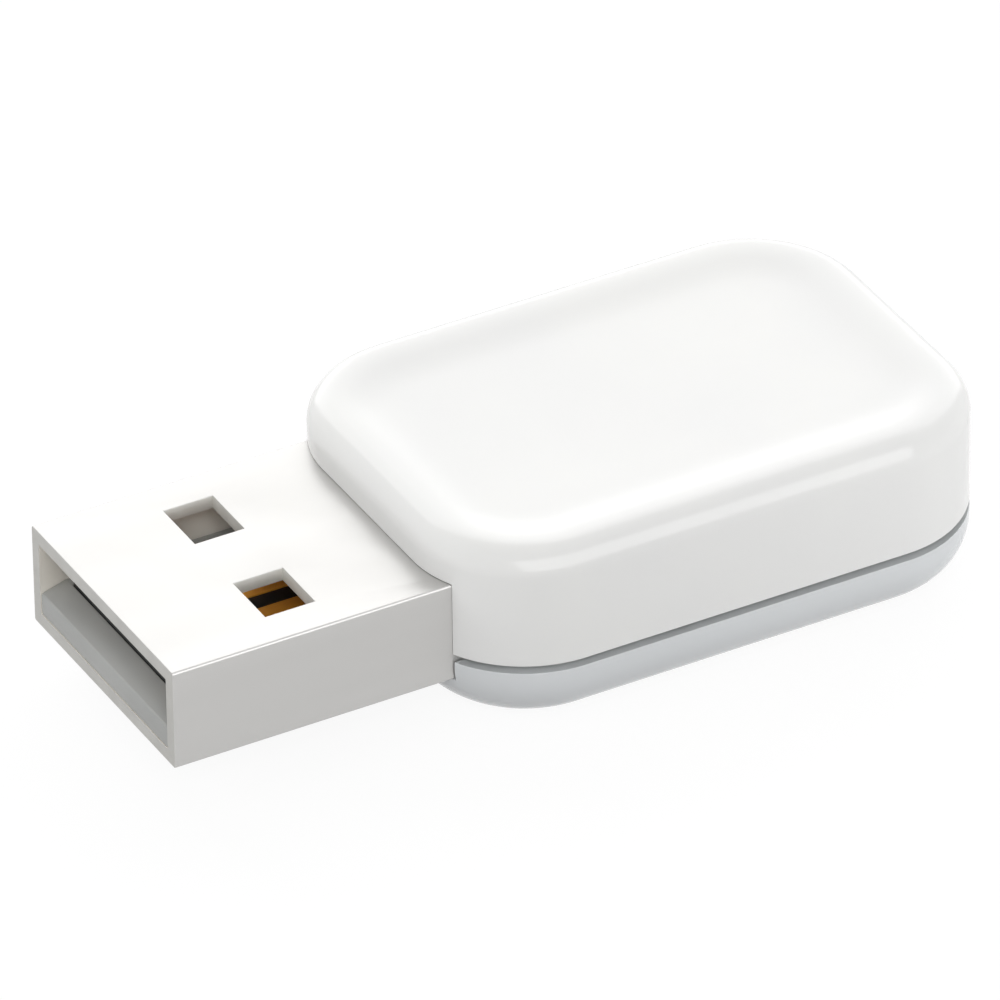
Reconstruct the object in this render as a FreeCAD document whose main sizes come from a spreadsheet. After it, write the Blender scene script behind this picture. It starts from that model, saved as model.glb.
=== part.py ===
"""Radio stick for a type A socket: two snapped housings, a folded plug and a small radio board.

Millimetres. The origin is the middle of the flat underside of the whole stick, +X runs from
the plug's mouth to the closed end, +Y is the stick's left side seen from the mouth's far end,
and +Z is up, through the dished top.
"""

import FreeCAD, Part
import os
import Sketcher

VECTOR = FreeCAD.Vector
DOCUMENT = FreeCAD.newDocument("radio_stick")
# How near two places are when they are the same place.
TINY = 0.001

# The driving sizes. Each row is a name, a number and what the number is.
DRIVING_SIZES = (
    ("body_length", 24.65, "housing, front face to closed end"),
    ("body_width", 17.6, "housing, side to side"),
    ("body_height", 8.4, "housing, underside to the crest of the rim"),
    ("corner_radius", 5.0, "housing, the four upright corners"),
    ("wall", 1.2, "housing side walls"),
    ("rim_radius", 1.15, "top housing, outer rounding of the rim"),
    ("crest_radius", 3.2, "top housing, inner rounding of the rim's crest"),
    ("dish_width", 2.4, "top housing, crest to the dish's floor, across"),
    ("dish_depth", 0.36, "top housing, crest to the dish's floor, down"),
    ("ceiling", 1.0, "top housing, thickness over the board"),
    ("ceiling_gusset", 0.7, "top housing, inside, slope between wall and ceiling"),
    ("base_radius", 2.45, "bottom housing, outer rounding of the lower edge"),
    ("base_flat", 0.7, "bottom housing, swept part of the floor past the rounding"),
    ("floor", 1.0, "bottom housing, thickness under the board"),
    ("floor_gusset", 1.2, "bottom housing, inside, slope between wall and floor"),
    ("seam_height", 3.03, "underside to the middle of the seam"),
    ("seam_gap", 0.25, "height of the groove that shows between the housings"),
    ("seam_bevel", 0.08, "bevel of the two edges at the seam"),
    ("lip_thickness", 0.55, "bottom housing, the lip that stands inside the top housing"),
    ("lip_height", 1.4, "bottom housing, lip above the rim"),
    ("lip_clearance", 0.05, "round the lip, inside the top housing"),
    ("snap_length", 2.4, "snap ridge, along the side"),
    ("snap_spacing", 11.0, "snap ridges, middle to middle along the side"),
    ("snap_reach", 0.22, "snap ridge, how far it stands out of the lip"),
    ("snap_height", 0.6, "snap ridge, its foot on the lip"),
    ("snap_drop", 0.25, "snap ridge, its upper end below the lip's top"),
    ("snap_clearance", 0.06, "round a snap ridge, in its recess"),
    ("plug_width", 12.0, "plug shell, outside"),
    ("plug_height", 4.5, "plug shell, outside"),
    ("plug_reach", 11.85, "plug shell, mouth to the housing's front face"),
    ("plug_inside", 4.4, "plug shell, length inside the housing"),
    ("sheet", 0.6, "plug shell, sheet thickness"),
    ("bend_radius", 0.12, "plug shell, outer bend"),
    ("inner_bend", 0.05, "plug shell, inner bend"),
    ("mouth_bevel", 0.04, "plug shell, bevel of the mouth's outer edge"),
    ("window_setback", 5.0, "plug shell, mouth to the windows"),
    ("window_length", 2.2, "plug shell window, along the plug"),
    ("window_width", 2.7, "plug shell window, across the plug"),
    ("window_spacing", 5.9, "plug shell windows, middle to middle"),
    ("fold_gap", 0.06, "plug shell, the slit where the folded sheet meets under the plug"),
    ("fold_start", 0.8, "plug shell, mouth to the slit, which is closed at the mouth's rim"),
    ("lock_length", 1.4, "plug shell, root of the dovetail that locks the slit"),
    ("lock_reach", 1.6, "plug shell, how far the dovetail reaches across the slit"),
    ("lock_flare", 0.3, "plug shell, how much the dovetail widens on each side"),
    ("leg_length", 2.9, "plug shell leg, behind the sheet tube"),
    ("leg_height", 1.5, "plug shell leg, above the board"),
    ("peg_length", 1.0, "plug shell peg, along the plug"),
    ("peg_drop", 1.35, "plug shell peg, below the board's top"),
    ("peg_inset", 0.3, "plug shell peg, from the leg's end"),
    ("notch_clearance", 0.05, "above and below the plug shell, in the housings"),
    ("notch_slit", 0.08, "beside the plug shell, in the bottom housing"),
    ("tongue_gap", 2.0, "plug, free height above the tongue"),
    ("tongue_setback", 0.03, "plug, mouth to the tongue's front"),
    ("insulator_clearance", 0.03, "between the insulator and the shell's sheet"),
    ("ramp_length", 1.08, "insulator, ramp at the tongue's front, along"),
    ("ramp_drop", 0.32, "insulator, ramp at the tongue's front, down"),
    ("nose_bevel", 0.06, "insulator, bevel of the tongue's upper front edge"),
    ("insulator_corner", 0.12, "insulator, edges that lie in the shell's bends"),
    ("block_start", 11.6, "plug, mouth to the insulator's rear block"),
    ("block_proud", 0.15, "insulator's rear block, behind the shell's tube"),
    ("bed_setback", 1.2, "plug, mouth to the contact bed"),
    ("bed_margin", 0.55, "contact bed, in from the shell's inner sides"),
    ("bed_thickness", 0.63, "contact bed"),
    ("bed_proud", 0.13, "contact bed, above the tongue"),
    ("bed_clearance", 0.03, "round the contact bed"),
    ("contact_width", 1.14, "contact strip"),
    ("contact_thickness", 0.25, "contact strip"),
    ("contact_proud", 0.04, "contact strip, above the contact bed"),
    ("contact_clearance", 0.02, "beside and above a contact strip, in its channel"),
    ("power_pitch", 3.5, "outer contacts, from the plug's middle"),
    ("data_pitch", 1.0, "inner contacts, from the plug's middle"),
    ("power_setback", 2.2, "plug, mouth to the outer contacts"),
    ("data_setback", 3.2, "plug, mouth to the inner contacts"),
    ("tip_drop", 0.2, "contact strip, how far its front tip dips"),
    ("tip_length", 0.5, "contact strip, its dipping tip"),
    ("tail_gap", 0.2, "contact strip, rear block to the step down to the board"),
    ("tail_drop", 0.3, "contact strip, step down to the board"),
    ("foot_length", 1.3, "contact strip, flat foot on the board"),
    ("board_gap", 0.5, "insulator's rear block to the board's front edge"),
    ("board_edge", 0.2, "circuit board, from its front edge to the contacts' feet"),
    ("board_thickness", 1.0, "circuit board"),
    ("board_clearance", 0.3, "circuit board to the housing's walls"),
    ("slot_clearance", 0.1, "round a shell peg, in the board"),
    ("rail_width", 0.9, "bottom housing, rails under the board"),
    ("rail_gap", 0.4, "bottom housing, shell pegs to the rails"),
    ("pin_diameter", 1.0, "bottom housing, pins that place the board"),
    ("pin_clearance", 0.1, "round a placing pin, in the board"),
    ("pin_setback", 4.6, "placing pins, in from the board's far edge"),
    ("pin_inset", 1.4, "placing pins and rails, in from the board's long edges"),
    ("pin_rise", 0.7, "placing pins, above the board"),
    ("post_wall", 0.5, "top housing, wall of the socketed posts that hold the board down"),
    ("post_clearance", 0.05, "posts to the board and round the pins"),
    ("clamp_thickness", 0.9, "housing ribs that hold the plug shell"),
    ("clamp_width", 8.0, "housing ribs that hold the plug shell, across"),
    ("clamp_gap", 1.2, "housing ribs, in from the front wall"),
    ("clamp_clearance", 0.03, "housing ribs to the plug shell"),
    ("part_gap", 0.6, "between the parts on the board"),
    ("can_sheet", 0.2, "shield can, sheet thickness"),
    ("can_corner", 0.6, "shield can, upright corners"),
    ("can_edge", 0.18, "shield can, bevel of the top edge"),
    ("vent_diameter", 0.9, "shield can, a vent hole"),
    ("vent_pitch", 2.6, "shield can, vent hole to vent hole"),
    ("antenna_sheet", 0.3, "antenna, sheet thickness"),
    ("antenna_slot", 0.4, "antenna, width of a slot in the plate"),
    ("antenna_strip", 0.9, "antenna, slot to slot"),
    ("antenna_spine", 0.5, "antenna, what a slot leaves of the plate"),
    ("antenna_margin", 0.6, "antenna, in from the board's far edge"),
    ("chip_bevel", 0.12, "moulded packages, bevel round the top"),
    ("dimple_diameter", 0.4, "moulded packages, mark at the first terminal"),
    ("dimple_depth", 0.06, "moulded packages, depth of the mark"),
    ("dimple_inset", 0.4, "moulded packages, corner to the mark's middle"),
    ("land_width", 0.25, "flat packages, a terminal along its side"),
    ("land_pitch", 0.5, "flat packages, terminal to terminal"),
    ("land_margin", 0.7, "flat packages, corner to the first terminal"),
    ("land_height", 0.2, "flat packages, height of a terminal on the side"),
    ("land_proud", 0.04, "flat packages, how far a terminal stands out of the side"),
    ("lead_width", 0.25, "leaded packages, a lead"),
    ("lead_sheet", 0.12, "leaded packages, thickness of a lead"),
    ("lead_pitch", 0.65, "leaded packages, lead to lead"),
    ("lead_knee", 0.08, "leaded packages, side of the body to the lead's bend"),
    ("lead_reach", 0.43, "leaded packages, side of the body to the lead's end"),
    ("lead_rise", 0.42, "leaded packages, board to the lead's top where it leaves the body"),
    ("standoff", 0.08, "leaded packages, board to the underside of the body"),
    ("lid_inset", 0.15, "canned packages, lid in from the base all round"),
    ("lid_height", 0.25, "canned packages, lid above the base"),
    ("cap_length", 0.25, "end-capped chips, a metal end"),
    ("cap_proud", 0.03, "end-capped chips, metal end above the body"),
)

# The parts on the board: a name, its length along the stick, its width and its height.
BOARD_PARTS = (
    ("shield_can", 7.0, 7.0, 1.7),
    ("radio_chip", 4.0, 4.0, 0.85),
    ("radio_crystal", 2.0, 1.6, 0.7),
    ("band_filter", 1.4, 1.1, 0.6),
    ("usb_bridge_chip", 4.0, 4.0, 0.8),
    ("flash_memory", 3.0, 3.0, 0.85),
    ("voltage_regulator", 2.0, 1.25, 1.0),
    ("esd_array", 2.0, 1.25, 1.0),
    ("resettable_fuse", 2.0, 1.25, 0.75),
    ("ground_ferrite", 1.6, 0.8, 0.8),
    ("bulk_capacitor", 2.0, 1.25, 1.2),
    ("ceramic_capacitor", 1.0, 0.5, 0.5),
    ("chip_resistor", 1.0, 0.5, 0.35),
    ("antenna", 2.0, 8.0, 2.3),
)
# Copies of the smallest chips: steps along the stick and steps away from its middle.
CAPACITOR_STEPS = ((0, 0), (1, 0), (0, 1), (1, 1))
RESISTOR_STEPS = ((0, 0), (1, 0), (0, 1))

# The contact strips, from the plug's right: name, place across and set-back from the mouth.
CONTACTS = (
    ("contact_vbus", "-sizes.power_pitch", "sizes.power_setback"),
    ("contact_data_minus", "-sizes.data_pitch", "sizes.data_setback"),
    ("contact_data_plus", "sizes.data_pitch", "sizes.data_setback"),
    ("contact_ground", "sizes.power_pitch", "sizes.power_setback"),
)

# Sizes that follow from the driving ones. Each row is a name and its expression.
DERIVED_SIZES = (
    # Along the stick, from the origin
    ("mouth_x", "-(sizes.plug_reach + sizes.body_length) / 2"),
    ("body_x", "places.mouth_x + sizes.plug_reach + sizes.body_length / 2"),
    # Along the housing, from its own middle
    ("front_x", "-sizes.body_length / 2"),
    ("clamp_x", "places.front_x + sizes.wall + sizes.clamp_gap"),
    # The rim's slope falls by two equal and opposite arcs, so half its angle has this tangent.
    ("half_slope", "sizes.dish_depth / sizes.dish_width"),
    ("slope_sine", "2 * places.half_slope / (1 + places.half_slope ^ 2)"),
    ("slope_cosine", "(1 - places.half_slope ^ 2) / (1 + places.half_slope ^ 2)"),
    ("slope_radius", "sizes.dish_width / places.slope_sine - sizes.crest_radius"),
    ("slope_in", "sizes.rim_radius + sizes.crest_radius * places.slope_sine"),
    ("slope_z", "sizes.body_height - sizes.crest_radius * (1 - places.slope_cosine)"),
    ("dish_in", "sizes.rim_radius + sizes.dish_width"),
    ("dish_z", "sizes.body_height - sizes.dish_depth"),
    ("ceiling_z", "places.dish_z - sizes.ceiling"),
    # The seam and its lip
    ("skirt_z", "sizes.seam_height + sizes.seam_gap / 2"),
    ("rim_z", "sizes.seam_height - sizes.seam_gap / 2"),
    ("lip_z", "places.rim_z + sizes.lip_height"),
    ("lip_in", "sizes.wall - sizes.lip_thickness"),
    ("skirt", "places.lip_in - sizes.lip_clearance"),
    ("recess_z", "places.lip_z + sizes.lip_clearance"),
    ("base_round", "min(sizes.base_radius; places.rim_z - 2 * sizes.seam_bevel)"),
    ("base_in", "places.base_round + sizes.base_flat"),
    # The plug's heights, from its own middle
    ("plug_axis", "sizes.body_height / 2"),
    ("half_plug", "sizes.plug_height / 2"),
    ("plug_top_z", "places.plug_axis + places.half_plug"),
    ("plug_bottom_z", "places.plug_axis - places.half_plug"),
    ("mouth_top", "places.half_plug - sizes.sheet"),
    ("tongue_top", "places.mouth_top - sizes.tongue_gap"),
    ("tongue_bottom", "sizes.insulator_clearance - places.mouth_top"),
    ("nose_z", "places.tongue_top - sizes.ramp_drop"),
    ("bed_top", "places.tongue_top + sizes.bed_proud"),
    ("bed_bottom", "places.bed_top - sizes.bed_thickness"),
    ("contact_top", "places.bed_top + sizes.contact_proud"),
    ("contact_bottom", "places.contact_top - sizes.contact_thickness"),
    ("foot_bottom", "places.contact_bottom - sizes.tail_drop"),
    # The plug's widths, from its own middle
    ("half_mouth", "sizes.plug_width / 2 - sizes.sheet"),
    ("half_insulator", "places.half_mouth - sizes.insulator_clearance"),
    ("half_bed", "places.half_mouth - sizes.bed_margin"),
    # Along the plug, from its mouth
    ("shell_end", "sizes.plug_reach + sizes.plug_inside"),
    ("lock_x", "(sizes.window_setback + sizes.window_length + sizes.plug_reach) / 2"),
    ("leg_end", "places.shell_end + sizes.leg_length"),
    ("peg_end", "places.leg_end - sizes.peg_inset"),
    ("block_end", "places.shell_end + sizes.block_proud"),
    ("board_start", "places.block_end + sizes.board_gap"),
    ("foot_start", "places.board_start + sizes.board_edge"),
    # The board
    ("board_x", "places.mouth_x + places.board_start"),
    ("board_top_z", "places.plug_axis + places.foot_bottom"),
    ("board_bottom_z", "places.board_top_z - sizes.board_thickness"),
    ("board_end", "sizes.plug_reach + sizes.body_length - sizes.wall - sizes.board_clearance"),
    ("board_length", "places.board_end - places.board_start"),
    ("board_width", "sizes.body_width - 2 * sizes.wall - 2 * sizes.board_clearance"),
    ("board_corner", "sizes.corner_radius - sizes.wall - sizes.board_clearance"),
    ("pin_along", "places.board_length - sizes.pin_setback"),
    ("pin_x", "places.board_x + places.pin_along - places.body_x"),
    ("pin_y", "places.board_width / 2 - sizes.pin_inset"),
    ("rail_x", "places.mouth_x + places.peg_end + sizes.rail_gap - places.body_x"),
    # Where each part's middle lies on the board, behind its front edge and left of its middle line
    ("row_along", "places.foot_start + sizes.foot_length + sizes.part_gap - places.board_start"),
    ("can_along", "places.row_along + sizes.esd_array_length + sizes.part_gap"),
    ("can_left", "sizes.shield_can_width / 2 + sizes.part_gap"),
    ("can_room", "sizes.can_sheet + sizes.part_gap / 2"),
    ("esd_array_along", "places.row_along + sizes.esd_array_length / 2"),
    ("esd_array_across", "0"),
    ("resettable_fuse_along", "places.row_along + sizes.resettable_fuse_length / 2"),
    ("resettable_fuse_across", "-sizes.power_pitch"),
    ("ground_ferrite_along", "places.row_along + sizes.ground_ferrite_length / 2"),
    ("ground_ferrite_across", "sizes.power_pitch"),
    ("shield_can_along", "places.can_along + sizes.shield_can_length / 2"),
    ("shield_can_across", "0"),
    ("radio_chip_along", "places.can_along + places.can_room + sizes.radio_chip_length / 2"),
    ("radio_chip_across", "places.can_room + (sizes.radio_chip_width - sizes.shield_can_width) / 2"),
    ("radio_crystal_along", "places.can_along + places.can_room + sizes.radio_crystal_length / 2"),
    ("radio_crystal_across", "(sizes.shield_can_width - sizes.radio_crystal_width) / 2 - places.can_room"),
    ("band_filter_along", "places.can_along + sizes.shield_can_length - places.can_room"
     " - sizes.band_filter_length / 2"),
    ("band_filter_across", "0"),
    ("bulk_capacitor_along", "places.can_along + sizes.bulk_capacitor_length / 2"),
    ("bulk_capacitor_across", "places.can_left + sizes.bulk_capacitor_width / 2"),
    ("ceramic_capacitor_along", "places.can_along + sizes.bulk_capacitor_length + sizes.part_gap"
     " + sizes.ceramic_capacitor_length / 2"),
    ("ceramic_capacitor_across", "places.can_left + sizes.ceramic_capacitor_width / 2"),
    ("voltage_regulator_along", "places.can_along + sizes.voltage_regulator_length / 2"),
    ("voltage_regulator_across", "-places.can_left - sizes.lead_reach - sizes.voltage_regulator_width / 2"),
    ("chip_resistor_along", "places.can_along + sizes.voltage_regulator_length + sizes.part_gap"
     " + sizes.chip_resistor_length / 2"),
    ("chip_resistor_across", "-places.can_left - sizes.chip_resistor_width / 2"),
    ("antenna_along", "places.board_length - sizes.antenna_margin - sizes.antenna_length / 2"),
    ("antenna_across", "0"),
    # Under the board
    ("usb_bridge_chip_along", "sizes.part_gap + sizes.usb_bridge_chip_length / 2"),
    ("usb_bridge_chip_across", "0"),
    ("flash_memory_along", "2 * sizes.part_gap + sizes.usb_bridge_chip_length"
     " + sizes.flash_memory_length / 2"),
    ("flash_memory_across", "0"),
)


def make_sheet():
    """The spreadsheet of driving sizes: a name, a number and a remark in each row."""
    rows = list(DRIVING_SIZES)
    for name, length, width, height in BOARD_PARTS:
        rows.append((f"{name}_length", length, "along the stick"))
        rows.append((f"{name}_width", width, "across the stick"))
        rows.append((f"{name}_height", height, "above the board's face"))
    sheet = DOCUMENT.addObject("Spreadsheet::Sheet", "sizes")
    for row, (alias, value, remark) in enumerate(rows, start=1):
        sheet.set(f"A{row}", alias)
        sheet.set(f"B{row}", str(value))
        sheet.set(f"C{row}", remark)
        sheet.setAlias(f"B{row}", alias)
    DOCUMENT.recompute()


def make_places():
    """The set of derived sizes, each bound to the sheet by its expression."""
    places = DOCUMENT.addObject("App::VarSet", "places")
    for name, expression in DERIVED_SIZES:
        places.addProperty("App::PropertyFloat", name, "derived", "")
        places.setExpression(name, expression)
        DOCUMENT.recompute()
    return places


def number(expression):
    """What an expression over the sheet is worth now."""
    return float(PLACES.evalExpression(expression))


def new_body(label, x="0", y="0", z="0"):
    """A body whose own origin stands at a place given by expressions."""
    body = DOCUMENT.addObject("PartDesign::Body", label)
    body.Label = label
    for axis, expression in (("x", x), ("y", y), ("z", z)):
        body.setExpression(f"Placement.Base.{axis}", expression)
    return body


def new_sketch(body, name, plane, height="0"):
    """A sketch on one of the body's own origin planes, moved along the plane's normal by height."""
    sketch = body.newObject("Sketcher::SketchObject", f"{body.Name}_{name}")
    support = next(item for item in body.Origin.OriginFeatures if item.Role == plane)
    sketch.AttachmentSupport = (support, "")
    sketch.MapMode = "FlatFace"
    sketch.setExpression("AttachmentOffset.Base.z", height)
    return sketch


def constrain(sketch, name, expression, kind, *where):
    """One dimension of a sketch, named and bound to its expression."""
    index = sketch.addConstraint(Sketcher.Constraint(kind, *where, number(expression)))
    sketch.renameConstraint(index, name)
    sketch.setExpression(f"Constraints.{name}", expression)


def pin(sketch, name, edge, end, x, y):
    """Holds one end of an edge at the place that two expressions give."""
    constrain(sketch, f"{name}_x", x, "DistanceX", -1, 1, edge, end)
    constrain(sketch, f"{name}_y", y, "DistanceY", -1, 1, edge, end)


def outline(sketch, corners, tag="p"):
    """A closed outline. A corner is (x, y), or (x, y, radius, turn) where an arc leads to it.

    The arc runs from the corner before. Its turn is +1 to the left and -1 to the right.
    """
    spots = [VECTOR(number(corner[0]), number(corner[1]), 0) for corner in corners]
    edges = []
    for index, corner in enumerate(corners):
        start, end = spots[index - 1], spots[index]
        if len(corner) == 2:
            edges.append(sketch.addGeometry(Part.LineSegment(start, end), False))
            continue
        radius, turn = number(corner[2]), corner[3]
        chord = end - start
        rise = max(radius ** 2 - (chord.Length / 2) ** 2, 0.0) ** 0.5
        across = VECTOR(-chord.y, chord.x, 0).normalize()
        centre = (start + end) * 0.5 + across * (rise * turn)
        middle = centre - across * (radius * turn)
        edges.append(sketch.addGeometry(Part.Arc(start, middle, end), False))
    reversed_arc = {}
    for index, corner in enumerate(corners):
        # An arc is always stored anticlockwise, so a right-hand one has its ends swapped.
        reversed_arc[index] = len(corner) > 2 and corner[3] < 0
    for index, corner in enumerate(corners):
        following = (index + 1) % len(corners)
        end = 1 if reversed_arc[index] else 2
        start = 2 if reversed_arc[following] else 1
        sketch.addConstraint(
            Sketcher.Constraint("Coincident", edges[index], end, edges[following], start)
        )
        pin(sketch, f"{tag}{index}", edges[index], end, corner[0], corner[1])
        if len(corner) > 2:
            constrain(sketch, f"{tag}{index}_radius", corner[2], "Radius", edges[index])
    return edges


def rectangle(sketch, left, right, low, high, tag="r"):
    """A rectangle between two places across and two places up."""
    return outline(sketch, ((left, low), (right, low), (right, high), (left, high)), tag)


def rounded_rectangle(sketch, left, right, low, high, radius, tag="q"):
    """A rectangle with four like rounded corners, drawn anticlockwise from the middle of its left side."""
    middle = f"(({low}) + ({high})) / 2"
    corners = (
        (left, f"{low} + {radius}"),
        (f"{left} + {radius}", low, radius, 1),
        (f"{right} - {radius}", low),
        (right, f"{low} + {radius}", radius, 1),
        (right, f"{high} - {radius}"),
        (f"{right} - {radius}", high, radius, 1),
        (f"{left} + {radius}", high),
        (left, f"{high} - {radius}", radius, 1),
        (left, middle),
    )
    return outline(sketch, corners, tag)


def circle(sketch, x, y, diameter, tag="c"):
    """A circle whose middle and diameter are given by expressions."""
    middle = VECTOR(number(x), number(y), 0)
    edge = sketch.addGeometry(Part.Circle(middle, VECTOR(0, 0, 1), number(diameter) / 2), False)
    pin(sketch, tag, edge, 3, x, y)
    constrain(sketch, f"{tag}_diameter", diameter, "Diameter", edge)


def volume_now(body):
    """The body's volume after a recompute."""
    DOCUMENT.recompute()
    return body.Shape.Volume


def pad(body, sketch, length, name="pad", midplane=False):
    """Adds the sketch's area over a length, along the plane's normal or to both sides of it."""
    feature = body.newObject("PartDesign::Pad", f"{sketch.Name}_{name}")
    feature.Profile = sketch
    feature.Midplane = midplane
    feature.setExpression("Length", length)
    DOCUMENT.recompute()
    return feature


def pocket(body, sketch, length, name="pocket", midplane=False):
    """Cuts the sketch's area over a length, against the plane's normal or to both sides of it."""
    before = body.Shape.Volume
    feature = body.newObject("PartDesign::Pocket", f"{sketch.Name}_{name}")
    feature.Profile = sketch
    feature.Midplane = midplane
    feature.setExpression("Length", length)
    if volume_now(body) >= before:
        raise RuntimeError(f"{feature.Name} cuts nothing")
    return feature


def sweep_section(body, section, path):
    """Carries a wall section round the housing's plan outline, upright all the way."""
    pipe = body.newObject("PartDesign::AdditivePipe", f"{body.Name}_swept_wall")
    pipe.Profile = section
    pipe.Spine = path
    pipe.Mode = "Frenet"
    DOCUMENT.recompute()
    return pipe


def plan_outline(body, name, inset, height="0"):
    """The housing's rounded plan outline, drawn in by an inset, at a height."""
    sketch = new_sketch(body, name, "XY_Plane", height)
    half_length = f"(sizes.body_length / 2 - ({inset}))"
    half_width = f"(sizes.body_width / 2 - ({inset}))"
    rounded_rectangle(
        sketch, f"-{half_length}", half_length, f"-{half_width}", half_width,
        f"(sizes.corner_radius - ({inset}))",
    )
    return sketch


def plug_notch(body, low, high, half_width):
    """Cuts the front wall, with its rounded corners, where the plug passes between two heights."""
    sketch = new_sketch(body, "notch", "YZ_Plane", "places.front_x + sizes.corner_radius")
    rectangle(sketch, f"-({half_width})", half_width, low, high)
    pocket(body, sketch, "sizes.corner_radius + sizes.wall")


def clamp_rib(body, low, high):
    """The rib that holds the plug's shell, between two heights."""
    sketch = new_sketch(body, "clamp", "XY_Plane", low)
    rectangle(
        sketch, "places.clamp_x", "places.clamp_x + sizes.clamp_thickness",
        "-sizes.clamp_width / 2", "sizes.clamp_width / 2",
    )
    pad(body, sketch, f"{high} - ({low})")


def pin_circles(body, name, height, diameter):
    """A sketch of one circle round each placing pin's axis, at a height."""
    sketch = new_sketch(body, name, "XY_Plane", height)
    for tag, side in (("right", "-"), ("left", "")):
        circle(sketch, "places.pin_x", f"{side}places.pin_y", diameter, tag)
    return sketch


def housing_section(body, corners):
    """The wall's section at the middle of the front, with across measured in from the outer face."""
    sketch = new_sketch(body, "section", "XZ_Plane")
    shifted = [(f"places.front_x + ({corner[0]})",) + tuple(corner[1:]) for corner in corners]
    outline(sketch, shifted)
    return sketch


def snap_places():
    """The four snap ridges: where each starts along the side, and which side it is on."""
    for along in (-1, 1):
        for side in (-1, 1):
            middle = f"({along} * sizes.snap_spacing / 2)"
            yield f"snap_{'rear' if along > 0 else 'front'}_{'left' if side > 0 else 'right'}", middle, side


def snap_triangle(sketch, side, grow):
    """A ridge's triangular section on the lip's outer face, grown all round by a clearance."""
    face = "(sizes.body_width / 2 - places.lip_in)"
    foot = "places.lip_z - sizes.snap_drop"
    corners = [
        (f"{side} * ({face} - sizes.lip_clearance)", f"{foot} + {grow}"),
        (f"{side} * ({face} + sizes.snap_reach + {grow})", f"{foot} - sizes.snap_height / 2"),
        (f"{side} * ({face} - sizes.lip_clearance)", f"{foot} - sizes.snap_height - {grow}"),
    ]
    outline(sketch, corners if side < 0 else corners[::-1])


def make_top_housing():
    """The upper shell: a soft raised rim round a shallow dish, with a skirt over the lip."""
    body = new_body("top_housing", x="places.body_x")
    path = plan_outline(body, "plan", "0")
    section = housing_section(body, (
        ("sizes.seam_bevel", "places.skirt_z"),
        ("0", "places.skirt_z + sizes.seam_bevel"),
        ("0", "sizes.body_height - sizes.rim_radius"),
        ("sizes.rim_radius", "sizes.body_height", "sizes.rim_radius", -1),
        ("places.slope_in", "places.slope_z", "sizes.crest_radius", -1),
        ("places.dish_in", "places.dish_z", "places.slope_radius", 1),
        ("places.dish_in", "places.ceiling_z"),
        ("sizes.wall + sizes.ceiling_gusset", "places.ceiling_z"),
        ("sizes.wall", "places.ceiling_z - sizes.ceiling_gusset"),
        ("sizes.wall", "places.recess_z"),
        ("places.skirt", "places.recess_z"),
        ("places.skirt", "places.skirt_z"),
    ))
    sweep_section(body, section, path)
    dish = plan_outline(body, "dish", "places.dish_in", "places.ceiling_z")
    pad(body, dish, "sizes.ceiling")
    plug_notch(
        body, "places.skirt_z - sizes.seam_gap", "places.plug_top_z + sizes.notch_clearance",
        "sizes.plug_width / 2 + sizes.notch_clearance",
    )
    for name, middle, side in snap_places():
        half = "(sizes.snap_length / 2 + sizes.snap_clearance)"
        recess = new_sketch(body, name, "YZ_Plane", f"{middle} + {half}")
        snap_triangle(recess, side, "sizes.snap_clearance")
        pocket(body, recess, f"2 * {half}")
    clamp_rib(body, "places.plug_top_z + sizes.clamp_clearance", "places.ceiling_z")
    post_z = "places.board_top_z + sizes.post_clearance"
    socket = "sizes.pin_diameter + 2 * sizes.post_clearance"
    posts = pin_circles(body, "posts", post_z, f"{socket} + 2 * sizes.post_wall")
    pad(body, posts, f"places.ceiling_z - ({post_z})")
    sockets = pin_circles(body, "sockets", f"{post_z} + sizes.pin_rise", socket)
    pocket(body, sockets, "sizes.pin_rise")
    return body


def make_bottom_housing():
    """The lower shell: a well rounded lower edge, the lip that shows in the seam, and the board's seats."""
    body = new_body("bottom_housing", x="places.body_x")
    path = plan_outline(body, "plan", "0")
    section = housing_section(body, (
        ("0", "places.rim_z - sizes.seam_bevel"),
        ("sizes.seam_bevel", "places.rim_z"),
        ("places.lip_in", "places.rim_z"),
        ("places.lip_in", "places.lip_z"),
        ("sizes.wall", "places.lip_z"),
        ("sizes.wall", "sizes.floor + sizes.floor_gusset"),
        ("sizes.wall + sizes.floor_gusset", "sizes.floor"),
        ("places.base_in", "sizes.floor"),
        ("places.base_in", "0"),
        ("places.base_round", "0"),
        ("0", "places.base_round", "places.base_round", -1),
    ))
    sweep_section(body, section, path)
    base = plan_outline(body, "base", "places.base_in")
    pad(body, base, "sizes.floor")
    plug_notch(
        body, "places.plug_bottom_z - sizes.notch_clearance", "places.lip_z + sizes.seam_gap",
        "sizes.plug_width / 2 + sizes.notch_slit",
    )
    for name, middle, side in snap_places():
        ridge = new_sketch(body, name, "YZ_Plane", f"{middle} - sizes.snap_length / 2")
        snap_triangle(ridge, side, "0")
        pad(body, ridge, "sizes.snap_length")
    clamp_rib(body, "sizes.floor", "places.plug_bottom_z - sizes.clamp_clearance")
    rails = new_sketch(body, "rails", "XY_Plane", "sizes.floor")
    for tag, side in (("right", "-"), ("left", "")):
        rectangle(
            rails, "places.rail_x", "places.pin_x + sizes.rail_width",
            f"{side}places.pin_y - sizes.rail_width / 2", f"{side}places.pin_y + sizes.rail_width / 2", tag,
        )
    pad(body, rails, "places.board_bottom_z - sizes.floor")
    pins = pin_circles(body, "pins", "sizes.floor", "sizes.pin_diameter")
    pad(body, pins, "places.board_top_z + sizes.pin_rise - sizes.floor")
    return body


def plug_body(label, y="0"):
    """A body whose own origin is the middle of the plug's mouth, moved sideways by y."""
    return new_body(label, x="places.mouth_x", y=y, z="places.plug_axis")


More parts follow.
